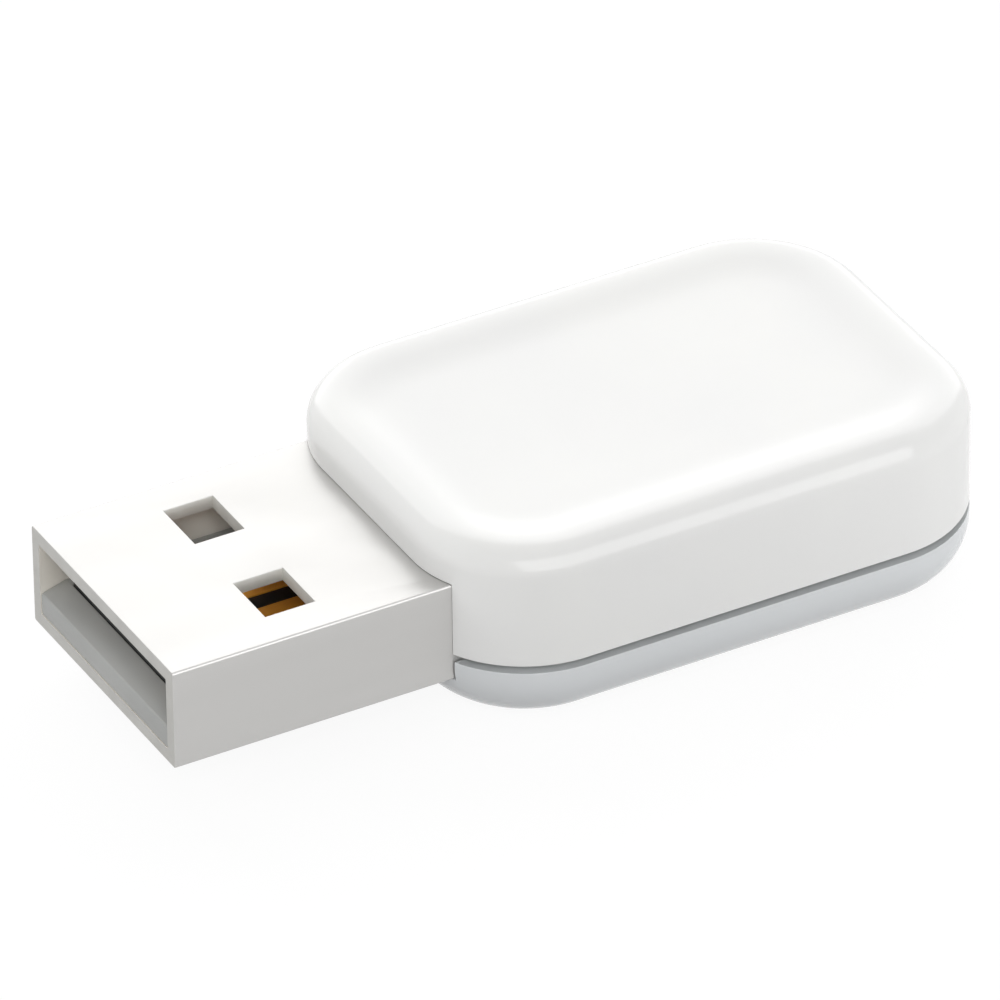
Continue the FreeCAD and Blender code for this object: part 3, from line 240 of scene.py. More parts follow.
# Glass-filled moulded PBT: matt cool grey, a little mottled.
INSULATOR_PBT = Finish(
    "moulded_grey_pbt", "#ACADAB", 0.48, ior=1.55, shade="#A5A6A4", grain=0.07, grain_depth=0.002,
)
# Black moulded LCP: nearly no colour, dull where the contacts lie.
BED_LCP = Finish("moulded_black_lcp", "#121314", 0.42, ior=1.6, shade="#18191B", grain=0.06)
# Gold flash over stamped bronze: warm metal, dark brown where it sees no lamp.
CONTACT_GOLD = Finish(
    "gold_plated_stamped_bronze", "#FFB84C", 0.5, metallic=0.5, shade="#F6AD42", patch=1.5,
    stretch=8.0,
)
# Solder mask over copper: deep green, half glossy.
SOLDER_MASK = Finish("green_solder_mask", "#14582F", 0.33, ior=1.52, shade="#1B6A3A", patch=1.1)
# Bright tin on sheet and terminals: white metal, softly uneven.
TIN_PLATE = Finish("bright_tin_plate", "#CFD1D2", 0.3, metallic=1.0, shade="#BFC2C4", patch=1.2)
# Transfer-moulded epoxy packages: charcoal, with the fine spark texture of the mould.
PACKAGE_EPOXY = Finish(
    "moulded_black_epoxy", "#1C1C1E", 0.58, ior=1.55, shade="#232325", grain=0.05, grain_depth=0.003,
)
# Fired alumina under the lids of the crystal and the filter: off-white, matt.
ALUMINA = Finish("fired_white_alumina", "#C9C4B6", 0.6, ior=1.7, shade="#BDB7A8", grain=0.05)
# Fired ceramic chip bodies: tan for the capacitors.
CHIP_CERAMIC = Finish("fired_tan_ceramic", "#9A7A55", 0.5, ior=1.7, shade="#8D6E4B", grain=0.05)
# Sintered ferrite: cool dark grey with a slight sheen.
FERRITE = Finish("sintered_ferrite", "#3E4043", 0.45, ior=1.8, shade="#36383B", grain=0.05)
# Overglazed resistor body: glassy black.
RESISTOR_GLAZE = Finish("glazed_black_resistor", "#141416", 0.22, ior=1.52, shade="#1A1A1D")
# Polymer fuse laminate: flat green.
FUSE_POLYMER = Finish("green_polymer_fuse", "#2F5E3C", 0.55, shade="#28523A")


def new_piece(name: str, mesh: bpy.types.Mesh) -> bpy.types.Object:
    """Puts a mesh into the scene as an object at the origin.

    Args:
        name: the object's name.
        mesh: its mesh.

    Returns:
        The object.
    """
    piece = bpy.data.objects.new(name, mesh)
    bpy.context.scene.collection.objects.link(piece)
    return piece


def bake(piece: bpy.types.Object) -> None:
    """Turns what a piece's modifiers make into its plain mesh, and removes them.

    Args:
        piece: the piece.
    """
    graph = bpy.context.evaluated_depsgraph_get()
    made = bpy.data.meshes.new_from_object(piece.evaluated_get(graph))
    piece.modifiers.clear()
    piece.data = made


def smooth(piece: bpy.types.Object) -> None:
    """Shades a piece smoothly, with its real edges kept sharp.

    Args:
        piece: the piece, a plain mesh.
    """
    mesh = piece.data
    mesh.polygons.foreach_set("use_smooth", [True] * len(mesh.polygons))
    mesh.set_sharp_from_angle(angle=SHARP_ANGLE)


def dress_faces(piece: bpy.types.Object, finish: Finish,
                chosen: Callable[[bpy.types.MeshPolygon], bool]) -> None:
    """Gives the faces of a piece that pass a test a finish of their own.

    Args:
        piece: the piece, a plain mesh.
        finish: what those faces are made of.
        chosen: the test, on a face.
    """
    piece.data.materials.append(finish.material())
    added = len(piece.data.materials) - 1
    for face in piece.data.polygons:
        if chosen(face):
            face.material_index = added


@dataclass(frozen=True)
class Spot:
    """A point of a section, in from the outer face and up, with the arc that leads to it."""

    inward: float
    height: float
    radius: float = 0.0
    turn: int = 0

    def place(self) -> Vector:
        """The point itself, in millimetres."""
        return Vector((self.inward, self.height))


def arc_points(start: Vector, end: Vector, radius: float, turn: int) -> list[Vector]:
    """Divides the shorter arc between two points.

    Args:
        start: where the arc starts, left out of the result.
        end: where it ends.
        radius: its radius.
        turn: +1 where it turns to the left and -1 where it turns to the right.

    Returns:
        The points after the start.
    """
    chord = end - start
    rise = math.sqrt(max(radius ** 2 - (chord.length / 2) ** 2, 0.0))
    across = Vector((-chord.y, chord.x)).normalized()
    centre = (start + end) / 2 + across * (rise * turn)
    angle = 2 * math.asin(min(chord.length / (2 * radius), 1.0))
    steps = max(LEAST_ARC_SPACES, math.ceil(angle / ARC_STEP))
    arm = start - centre
    return [centre + Matrix.Rotation(turn * angle * step / steps, 2) @ arm
            for step in range(1, steps + 1)]


def section_points(spots: Sequence[Spot]) -> list[Vector]:
    """Draws a section's lines and arcs as points.

    Args:
        spots: the section's corners and the ends of its arcs, in order.

    Returns:
        The points, in millimetres.
    """
    points = [spots[0].place()]
    for spot in spots[1:]:
        if spot.radius:
            points += arc_points(points[-1], spot.place(), spot.radius, spot.turn)
        else:
            points.append(spot.place())
    return points


@dataclass(frozen=True)
class Plan:
    """The rounded rectangle that a section is swept round."""

    length: float
    width: float
    corner: float

    @staticmethod
    def sweep_tree() -> bpy.types.GeometryNodeTree:
        """The node tree that carries a section round a rounded rectangle, made once.

        Returns:
            The tree, with the plan's sizes and the finish as its inputs.
        """
        known = bpy.data.node_groups.get(SWEEP_TREE)
        if known:
            return known
        tree = bpy.data.node_groups.new(SWEEP_TREE, "GeometryNodeTree")
        face = tree.interface
        face.new_socket("Section", in_out="INPUT", socket_type="NodeSocketGeometry")
        for name in ("Plan Length", "Plan Width", "Corner Radius"):
            face.new_socket(name, in_out="INPUT", socket_type="NodeSocketFloat")
        face.new_socket("Corner Spaces", in_out="INPUT", socket_type="NodeSocketInt")
        face.new_socket("Finish", in_out="INPUT", socket_type="NodeSocketMaterial")
        face.new_socket("Wall", in_out="OUTPUT", socket_type="NodeSocketGeometry")
        given = add_node(tree, "NodeGroupInput").outputs
        sides = add_node(tree, "GeometryNodeCurvePrimitiveQuadrilateral", inputs={
            "Width": given["Plan Length"], "Height": given["Plan Width"],
        })
        path = add_node(tree, "GeometryNodeFilletCurve", {"mode": "POLY"}, {
            "Curve": sides.outputs[0], "Radius": given["Corner Radius"],
            "Count": given["Corner Spaces"],
        })
        section = add_node(tree, "GeometryNodeMeshToCurve", inputs={"Mesh": given["Section"]})
        wall = add_node(tree, "GeometryNodeCurveToMesh", inputs={
            "Curve": path.outputs[0], "Profile Curve": section.outputs[0],
        })
        real = add_node(tree, "GeometryNodeRealizeInstances", inputs={0: wall.outputs[0]})
        dressed = add_node(tree, "GeometryNodeSetMaterial", inputs={
            "Geometry": real.outputs[0], "Material": given["Finish"],
        })
        add_node(tree, "NodeGroupOutput", inputs={"Wall": dressed.outputs[0]})
        return tree

    def sweep(self, name: str, spots: Sequence[Spot], finish: Finish,
              place: Matrix) -> bpy.types.Object:
        """Carries an open section round the plan and closes it at both ends.

        Args:
            name: the piece's name.
            spots: the section, from one closing face to the other.
            finish: what the piece is made of.
            place: where the plan's middle goes, in metres.

        Returns:
            The closed piece.
        """
        # A swept section points outwards along its own X and downwards along its own Y.
        points = [Vector((-point.x * MM, -point.y * MM, 0.0)) for point in section_points(spots)]
        mesh = bpy.data.meshes.new(name)
        mesh.from_pydata(points, [(at, at + 1) for at in range(len(points) - 1)], [])
        piece = new_piece(name, mesh)
        sweep = piece.modifiers.new("sweep", "NODES")
        sweep.node_group = self.sweep_tree()
        given = {item.name: item.identifier for item in sweep.node_group.interface.items_tree
                 if item.in_out == "INPUT"}
        sweep[given["Plan Length"]] = self.length * MM
        sweep[given["Plan Width"]] = self.width * MM
        sweep[given["Corner Radius"]] = self.corner * MM
        sweep[given["Corner Spaces"]] = CORNER_SPACES
        sweep[given["Finish"]] = finish.material()
        bake(piece)
        shape = bmesh.new()
        shape.from_mesh(piece.data)
        bmesh.ops.holes_fill(shape, edges=[edge for edge in shape.edges if edge.is_boundary])
        bmesh.ops.recalc_face_normals(shape, faces=shape.faces)
        bmesh.ops.transform(shape, matrix=place, verts=shape.verts)
        shape.to_mesh(piece.data)
        shape.free()
        return piece


class Joinery(Enum):
    """What is done with a set of blocks on a moulding."""

    CUT = "DIFFERENCE"
    ADD = "UNION"


def join(piece: bpy.types.Object, tool: bpy.types.Object, joinery: Joinery) -> None:
    """Cuts a closed tool from a piece or adds it, with the tool's finish, and throws it away.

    Args:
        piece: the piece that changes.
        tool: the closed form that is cut out or added.
        joinery: which of the two it is.
    """
    change = piece.modifiers.new("joinery", "BOOLEAN")
    change.operation = joinery.value
    change.solver = "EXACT"
    change.material_mode = "TRANSFER"
    change.object = tool
    bake(piece)
    bpy.data.objects.remove(tool)


class Blocks:
    """Plain closed blocks, in millimetres, that are cut from a piece or added to it in one go."""

    def __init__(self) -> None:
        """Starts with no block."""
        self.shape = bmesh.new()

    def prism(self, outline: Sequence[Vector], rise: Vector) -> None:
        """Adds a prism.

        Args:
            outline: its foot's corners, in order.
            rise: from its foot to its top.
        """
        foot = [self.shape.verts.new(corner * MM) for corner in outline]
        face = self.shape.faces.new(foot)
        top = bmesh.ops.extrude_face_region(self.shape, geom=[face])["geom"]
        moved = [item for item in top if isinstance(item, bmesh.types.BMVert)]
        bmesh.ops.translate(self.shape, vec=rise * MM, verts=moved)

    def slab(self, low: Sequence[float], high: Sequence[float]) -> None:
        """Adds a square block.

        Args:
            low: its lowest corner.
            high: its highest corner.
        """
        corners = [(low[0], low[1]), (high[0], low[1]), (high[0], high[1]), (low[0], high[1])]
        outline = [Vector((x, y, low[2])) for x, y in corners]
        self.prism(outline, Vector((0.0, 0.0, high[2] - low[2])))

    def post(self, middle: Sequence[float], top: float, diameter: float) -> None:
        """Adds an upright round post.

        Args:
            middle: the middle of its foot.
            top: the height of its top.
            diameter: its diameter.
        """
        turns = [2 * math.pi * side / ROUND_SIDES for side in range(ROUND_SIDES)]
        outline = [Vector((middle[0] + math.cos(turn) * diameter / 2,
                           middle[1] + math.sin(turn) * diameter / 2, middle[2])) for turn in turns]
        self.prism(outline, Vector((0.0, 0.0, top - middle[2])))

    def apply(self, piece: bpy.types.Object, joinery: Joinery, finish: Finish | None = None) -> None:
        """Cuts the blocks from a piece or adds them to it, and dresses the new faces.

        Args:
            piece: the piece that changes.
            joinery: whether they are cut out or added.
            finish: what the new faces are made of, where it isn't the piece's own.
        """
        bmesh.ops.recalc_face_normals(self.shape, faces=self.shape.faces)
        mesh = bpy.data.meshes.new("blocks")
        self.shape.to_mesh(mesh)
        self.shape.free()
        if finish:
            mesh.materials.append(finish.material())
        join(piece, new_piece("blocks", mesh), joinery)


def ease_edges(piece: bpy.types.Object, chosen: Callable[[Vector], bool], radius: float) -> None:
    """Rounds a piece's sharp edges whose two ends pass a test.

    Args:
        piece: the piece, a plain mesh.
        chosen: the test, on a point in millimetres.
        radius: the rounding's radius.
    """
    shape = bmesh.new()
    shape.from_mesh(piece.data)
    edges = [edge for edge in shape.edges
             if len(edge.link_faces) == 2 and edge.calc_face_angle(0.0) > SHARP_ANGLE
             and all(chosen(vertex.co / MM) for vertex in edge.verts)]
    bmesh.ops.bevel(shape, geom=edges, offset=radius * MM, segments=ROUNDING_ROWS,
                    profile=CIRCLE_PROFILE, affect="EDGES", clamp_overlap=True)
    shape.to_mesh(piece.data)
    shape.free()


def corners_of(node: str) -> tuple[Vector, Vector]:
    """A frame node's lowest and highest corners, in millimetres."""
    low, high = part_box(node)
    return low / MM, high / MM


@dataclass(frozen=True)
class Stick:
    """The places that the frame fixes, in millimetres."""

    mouth: float
    front: float
    back: float
    side: float
    crest: float
    plug_side: float
    plug_top: float
    plug_bottom: float
    leg_end: float
    board_top: float
    board_bottom: float
    board_end: float
    board_side: float

    @classmethod
    def from_frame(cls) -> "Stick":
        """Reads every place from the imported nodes.

        Returns:
            The stick's places.
        """
        low, high = corners_of("top_housing")
        plug_low, plug_high = corners_of("usb_shell")
        board_low, board_high = corners_of("circuit_board")
        # The plug's axis lies at half the housing's height, and its pegs reach lower than its tube.
        return cls(
            mouth=plug_low.x, front=low.x, back=high.x, side=high.y, crest=high.z,
            plug_side=plug_high.y, plug_top=plug_high.z, plug_bottom=high.z - plug_high.z,
            leg_end=plug_high.x, board_top=board_high.z, board_bottom=board_low.z,
            board_end=board_high.x, board_side=board_high.y,
        )


@dataclass(frozen=True)
class Housing:
    """The two snapped mouldings: a soft raised rim round a dish above, a rounded edge below."""

    stick: Stick
    corner_radius: float = 5.0
    wall: float = 1.2
    rim_radius: float = 1.15
    crest_radius: float = 3.2
    dish_width: float = 2.4
    dish_depth: float = 0.36
    ceiling: float = 1.0
    ceiling_gusset: float = 0.7
    base_radius: float = 2.45
    floor: float = 1.0
    floor_gusset: float = 1.2
    seam_height: float = 2.97
    seam_gap: float = 0.31
    seam_round: float = 0.08
    lower_seam_round: float = 0.02
    lip_thickness: float = 0.55
    lip_height: float = 1.4
    lip_clearance: float = 0.05
    snap_length: float = 2.4
    snap_spacing: float = 11.0
    snap_reach: float = 0.22
    snap_height: float = 0.6
    snap_drop: float = 0.25
    snap_clearance: float = 0.06
    notch_clearance: float = 0.02
    notch_slit: float = 0.08
    notch_round: float = 0.03
    clamp_thickness: float = 0.9
    clamp_width: float = 8.0
    clamp_gap: float = 1.2
    clamp_clearance: float = 0.03
    post_wall: float = 0.5
    post_clearance: float = 0.05
    pin_diameter: float = 1.0
    pin_rise: float = 0.7
    pin_setback: float = 4.6
    pin_inset: float = 1.4
    peg_inset: float = 0.3
    rail_width: float = 0.9
    rail_gap: float = 0.4
    # How far an added block runs into the wall that carries it.
    root: float = 0.2
    # A point this near to an outline lies on it.
    near: float = 0.02

    @property
    def middle(self) -> float:
        """The housing's middle, along the stick."""
        return (self.stick.front + self.stick.back) / 2

    @property
    def dish_z(self) -> float:
        """The dish's floor."""
        return self.stick.crest - self.dish_depth

    @property
    def ceiling_z(self) -> float:
        """The underside of the dish's floor."""
        return self.dish_z - self.ceiling

    @property
    def skirt_z(self) -> float:
        """The upper moulding's edge at the seam."""
        return self.seam_height + self.seam_gap / 2

    @property
    def ledge_z(self) -> float:
        """The lower moulding's edge at the seam."""
        return self.seam_height - self.seam_gap / 2

    @property
    def lip_z(self) -> float:
        """The top of the lower moulding's lip."""
        return self.ledge_z + self.lip_height

    @property
    def lip_in(self) -> float:
        """The lip's outer face, in from the housing's."""
        return self.wall - self.lip_thickness

    def plan(self) -> Plan:
        """The housing's outline from above."""
        return Plan(self.stick.back - self.stick.front, 2 * self.stick.side, self.corner_radius)

    def standing(self) -> Matrix:
        """Moves a swept wall from the origin to the housing's middle."""
        return Matrix.Translation((self.middle * MM, 0.0, 0.0))

    def top_section(self) -> list[Spot]:
        """The upper wall's section, from the dish's floor out over the rim, down and in again.

        Returns:
            The section's corners and the ends of its arcs.
        """
        # A crowned and a hollow arc of one angle lead from the crest down to the dish. The
        # tangent of half that angle is their fall over their width.
        half_slope = self.dish_depth / self.dish_width
        sine = 2 * half_slope / (1 + half_slope ** 2)
        cosine = (1 - half_slope ** 2) / (1 + half_slope ** 2)
        dish_in = self.rim_radius + self.dish_width
        skirt_in = self.lip_in - self.lip_clearance
        recess_z = self.lip_z + self.lip_clearance
        return [
            Spot(dish_in, self.dish_z),
            Spot(self.rim_radius + self.crest_radius * sine,
                 self.stick.crest - self.crest_radius * (1 - cosine),
                 self.dish_width / sine - self.crest_radius, -1),
            Spot(self.rim_radius, self.stick.crest, self.crest_radius, 1),
            Spot(0.0, self.stick.crest - self.rim_radius, self.rim_radius, 1),
            Spot(0.0, self.skirt_z + self.seam_round),
            Spot(self.seam_round, self.skirt_z, self.seam_round, 1),
            Spot(skirt_in, self.skirt_z),
            Spot(skirt_in, recess_z),
            Spot(self.wall, recess_z),
            Spot(self.wall, self.ceiling_z - self.ceiling_gusset),
            Spot(self.wall + self.ceiling_gusset, self.ceiling_z),
            Spot(dish_in, self.ceiling_z),
        ]

    def base_section(self) -> list[Spot]:
        """The lower wall's section, from the underside out round the edge, up the lip and in.

        Returns:
            The section's corners and the ends of its arcs.
        """
        return [
            Spot(self.base_radius, 0.0),
            Spot(0.0, self.base_radius, self.base_radius, -1),
            Spot(0.0, self.ledge_z - self.lower_seam_round),
            Spot(self.lower_seam_round, self.ledge_z, self.lower_seam_round, -1),
            Spot(self.lip_in, self.ledge_z),
            Spot(self.lip_in, self.lip_z),
            Spot(self.wall, self.lip_z),
            Spot(self.wall, self.floor + self.floor_gusset),
            Spot(self.wall + self.floor_gusset, self.floor),
        ]

    def notch(self, blocks: Blocks, low: float, high: float, half_width: float) -> None:
        """Adds the block that lets the plug through the front wall between two heights."""
        start = self.stick.front - self.wall
        blocks.slab((start, -half_width, low), (self.stick.front + self.corner_radius, half_width, high))

    def snaps(self, blocks: Blocks, grow: float) -> None:
        """Adds the four snap ridges on the lip's sides.

        Args:
            blocks: the blocks that they join.
            grow: how much larger they are all round, as their recesses are.
        """
        face = self.stick.side - self.lip_in
        foot = self.lip_z - self.snap_drop
        half = self.snap_length / 2 + grow
        for along in (-1, 1):
            start = self.middle + along * self.snap_spacing / 2 - half
            for side in (-1, 1):
                blocks.prism((
                    Vector((start, side * (face - self.lip_clearance), foot + grow)),
                    Vector((start, side * (face + self.snap_reach + grow), foot - self.snap_height / 2)),
                    Vector((start, side * (face - self.lip_clearance), foot - self.snap_height - grow)),
                ), Vector((2 * half, 0.0, 0.0)))

    def clamp(self, blocks: Blocks, low: float, high: float) -> None:
        """Adds the rib that holds the plug.

        Args:
            blocks: the blocks that it joins.
            low: the height of its foot.
            high: the height of its top.
        """
        start = self.stick.front + self.wall + self.clamp_gap
        half = self.clamp_width / 2
        blocks.slab((start, -half, low), (start + self.clamp_thickness, half, high))

    def pin_places(self) -> list[tuple[float, float]]:
        """Where the two placing pins stand.

        Returns:
            Each pin's place along and across the stick.
        """
        across = self.stick.board_side - self.pin_inset
        along = self.stick.board_end - self.pin_setback
        return [(along, -across), (along, across)]

    def make_top(self) -> bpy.types.Object:
        """Moulds the upper shell.

        Returns:
            The upper shell, dressed.
        """
        top = self.plan().sweep("upper_shell", self.top_section(), HOUSING_ABS, self.standing())
        cuts = Blocks()
        notch_top = self.stick.plug_top + self.notch_clearance
        half_notch = self.stick.plug_side + self.notch_clearance
        self.notch(cuts, self.skirt_z - self.seam_gap, notch_top, half_notch)
        self.snaps(cuts, self.snap_clearance)
        cuts.apply(top, Joinery.CUT)
        posts, sockets = Blocks(), Blocks()
        post_z = self.stick.board_top + self.post_clearance
        socket = self.pin_diameter + 2 * self.post_clearance
        roof = self.ceiling_z + self.root
        for x, y in self.pin_places():
            posts.post((x, y, post_z), roof, socket + 2 * self.post_wall)
            sockets.post((x, y, post_z - self.root), post_z + self.pin_rise, socket)
        self.clamp(posts, self.stick.plug_top + self.clamp_clearance, roof)
        posts.apply(top, Joinery.ADD)
        sockets.apply(top, Joinery.CUT)
        ease_edges(top, lambda spot: self.on_notch(spot, notch_top, half_notch), self.notch_round)
        smooth(top)
        return top

    def on_notch(self, spot: Vector, height: float, half_width: float) -> bool:
        """Whether a point lies on the outer outline of the notch for the plug.

        Args:
            spot: the point.
            height: the notch's top.
            half_width: half the notch's width.

        Returns:
            True where it does.
        """
        deep = self.stick.front + self.corner_radius - self.wall
        return (spot.x < deep and abs(spot.z - height) < self.near
                and abs(spot.y) < half_width + self.near and self.at_depth(spot, 0.0))

    def at_depth(self, spot: Vector, inward: float) -> bool:
        """Whether a point lies at a depth in the housing's wall.

        Args:
            spot: the point.
            inward: the depth, in from the outer upright face.

        Returns:
            True where it does.
        """
        straight_x = self.middle - self.stick.front - self.corner_radius
        straight_y = self.stick.side - self.corner_radius
        past = Vector((max(abs(spot.x - self.middle) - straight_x, 0.0),
                       max(abs(spot.y) - straight_y, 0.0)))
        return abs(self.corner_radius - past.length - inward) < self.near

    def in_seam(self, spot: Vector) -> bool:
        """Whether the middle of one of the lower shell's faces shows in the seam.

        Args:
            spot: the face's middle.

        Returns:
            True where it lies on the ledge or the lip.
        """
        depths = ((self.lower_seam_round + self.lip_in) / 2, self.lip_in)
        return spot.z > self.seam_height - self.seam_gap and any(
            self.at_depth(spot, inward) for inward in depths)

    def make_base(self) -> bpy.types.Object:
        """Moulds the lower shell.

        Returns:
            The lower shell, dressed.
        """
        # The lower shell's cooler, darker white carries painted shade.
        base = self.plan().sweep("lower_shell", self.base_section(), BASE_ABS_PAINTED_SHADE, self.standing())
        cuts = Blocks()
        self.notch(
            cuts, self.stick.plug_bottom - self.notch_clearance, self.lip_z + self.seam_gap,
            self.stick.plug_side + self.notch_slit,
        )
        cuts.apply(base, Joinery.CUT)
        ribs, pins = Blocks(), Blocks()
        sunk = self.floor - self.root
        self.snaps(ribs, 0.0)
        self.clamp(ribs, sunk, self.stick.plug_bottom - self.clamp_clearance)
        rail_start = self.stick.leg_end - self.peg_inset + self.rail_gap
        for x, y in self.pin_places():
            ribs.slab((rail_start, y - self.rail_width / 2, sunk),
                      (x + self.rail_width, y + self.rail_width / 2, self.stick.board_bottom))
            pins.post((x, y, sunk), self.stick.board_top + self.pin_rise, self.pin_diameter)
        ribs.apply(base, Joinery.ADD)
        pins.apply(base, Joinery.ADD)
        # The ledge and lip faces that show in the seam take the painted seam shade.
        dress_faces(base, SEAM_SHADE_ABS, lambda face: self.in_seam(face.center / MM))
        smooth(base)
        return base


@dataclass(frozen=True)
class Plug:
    """The folded sheet shell of the plug: its tube, windows, locked slit, legs and pegs."""

    stick: Stick
    sheet: float = 0.6
    bend_radius: float = 0.12
    inner_bend: float = 0.05
    mouth_round: float = 0.04
    inside_housing: float = 4.4
    window_setback: float = 5.0
    window_length: float = 2.2
    window_width: float = 2.7
    window_spacing: float = 5.9
    window_round: float = 0.03
    fold_gap: float = 0.06
    fold_start: float = 0.8
    lock_length: float = 1.4
    lock_reach: float = 1.6
    lock_flare: float = 0.3
    leg_height: float = 1.5
    peg_length: float = 1.0
    peg_drop: float = 1.35
    peg_inset: float = 0.3
    # A point this near to a window's outline lies on it.
    near: float = 0.003

    @property
    def axis(self) -> float:
        """The height of the plug's middle."""
        return (self.stick.plug_top + self.stick.plug_bottom) / 2

    @property
    def tube_end(self) -> float:
        """Where the folded tube ends inside the housing."""
        return self.stick.front + self.inside_housing

    def lying(self) -> Matrix:
        """Lays a swept block along the stick, with its foot at the plug's mouth."""
        turn = Matrix(((0, 0, 1, 0), (1, 0, 0, 0), (0, 1, 0, 0), (0, 0, 0, 1)))
        return Matrix.Translation((self.stick.mouth * MM, 0.0, self.axis * MM)) @ turn

    def make_shell(self) -> bpy.types.Object:
        """Folds the shell, with its windows, locked slit, legs and pegs.

        Returns:
            The shell, dressed.
        """
        width = 2 * self.stick.plug_side
        height = self.stick.plug_top - self.stick.plug_bottom
        length = self.tube_end - self.stick.mouth
        shell = Plan(width, height, self.bend_radius).sweep("folded_shell", (
            Spot(self.mouth_round, 0.0),
            Spot(0.0, self.mouth_round, self.mouth_round, -1),
            Spot(0.0, length),
        ), PLATED_STEEL, self.lying())
        past = self.sheet
        inside = Plan(width - 2 * self.sheet, height - 2 * self.sheet, self.inner_bend)
        # The hollow's finish passes to the tube's inner faces: paler nickel as painted light.
        hollow = inside.sweep("hollow", (
            Spot(0.0, -past),
            Spot(0.0, length + past),
        ), INNER_STEEL_PAINTED_LIGHT, self.lying())
        join(shell, hollow, Joinery.CUT)
        openings = Blocks()
        self.windows(openings)
        # The window cuts take the paler punched steel, painted light for the windows.
        openings.apply(shell, Joinery.CUT, PUNCHED_STEEL_PAINTED_LIGHT)
        fold = Blocks()
        fold.prism(self.fold_outline(), Vector((0.0, 0.0, 2 * self.sheet)))
        fold.apply(shell, Joinery.CUT)
        legs = Blocks()
        for side in (self.stick.plug_side - self.sheet, -self.stick.plug_side):
            legs.prism(self.leg_outline(side), Vector((0.0, self.sheet, 0.0)))
        legs.apply(shell, Joinery.ADD)
        ease_edges(shell, self.on_window, self.window_round)
        dress_faces(shell, SHEARED_STEEL, self.on_mouth)
        smooth(shell)
        return shell

    def on_mouth(self, face: bpy.types.MeshPolygon) -> bool:
        """Whether a face belongs to the sheet's sheared edge round the mouth."""
        rounded_to = (self.stick.mouth + self.mouth_round) * MM
        return face.normal.x < -FACING and face.center.x < rounded_to

    def window_ends(self) -> tuple[float, float]:
        """Where the windows start and end along the stick."""
        start = self.stick.mouth + self.window_setback
        return start, start + self.window_length

    def windows(self, blocks: Blocks) -> None:
        """Adds the blocks that punch the windows through both broad sides.

        Args:
            blocks: the blocks that they join.
        """
        start, end = self.window_ends()
        for side in (-1, 1):
            middle = side * self.window_spacing / 2
            blocks.slab((start, middle - self.window_width / 2, self.stick.plug_bottom - self.sheet),
                        (end, middle + self.window_width / 2, self.stick.plug_top + self.sheet))

    def on_window(self, spot: Vector) -> bool:
        """Whether a point lies on the outer outline of a window, and not on the slit between two.

        Args:
            spot: the point.

        Returns:
            True where it does.
        """
        start, end = self.window_ends()
        level = min(abs(spot.z - self.stick.plug_top), abs(spot.z - self.stick.plug_bottom))
        return (level < self.near and start - self.near < spot.x < end + self.near
                and abs(spot.y) > self.fold_gap)

    def fold_outline(self) -> list[Vector]:
        """The slit under the plug, round the dovetail that locks the sheet's two ends.

        Returns:
            Its corners, in order, half a sheet under the plug.
        """
        gap = self.fold_gap / 2
        root = self.lock_length / 2
        flare = root + self.lock_flare
        start, end = self.stick.mouth + self.fold_start, self.tube_end
        middle = (self.window_ends()[1] + self.stick.front) / 2
        corners = (
            (start, -gap), (middle - root + gap, -gap),
            (middle - flare + gap, self.lock_reach - gap), (middle + flare - gap, self.lock_reach - gap),
            (middle + root - gap, -gap), (end + self.sheet, -gap),
            (end + self.sheet, gap), (middle + root + gap, gap),
            (middle + flare + gap, self.lock_reach + gap), (middle - flare - gap, self.lock_reach + gap),
            (middle - root - gap, gap), (start, gap),
        )
        foot = self.stick.plug_bottom - self.sheet / 2
        return [Vector((x, y, foot)) for x, y in corners]

    def leg_outline(self, side: float) -> list[Vector]:
        """One leg on the board with its peg.

        Args:
            side: the outline's place across the stick.

        Returns:
            Its corners, in order.
        """
        board, foot = self.stick.board_top, self.stick.board_top - self.peg_drop
        start, end = self.tube_end - self.sheet, self.stick.leg_end
        peg_end = end - self.peg_inset
        peg_start = peg_end - self.peg_length
        corners = (
            (start, board), (peg_start, board), (peg_start, foot + self.bend_radius),
            (peg_start + self.bend_radius, foot), (peg_end - self.bend_radius, foot),
            (peg_end, foot + self.bend_radius), (peg_end, board), (end, board),
            (end, board + self.leg_height), (start, board + self.leg_height),
        )
        return [Vector((x, side, z)) for x, z in corners]


class Metal(Enum):
    """Which faces of a part on the board are bare metal."""

    NONE = "none"
    TERMINALS = "what stands out of the block's four sides"
    LEADS = "what stands out of the block's two long sides"
    LID = "the lid on top"
    ENDS = "the two end caps"


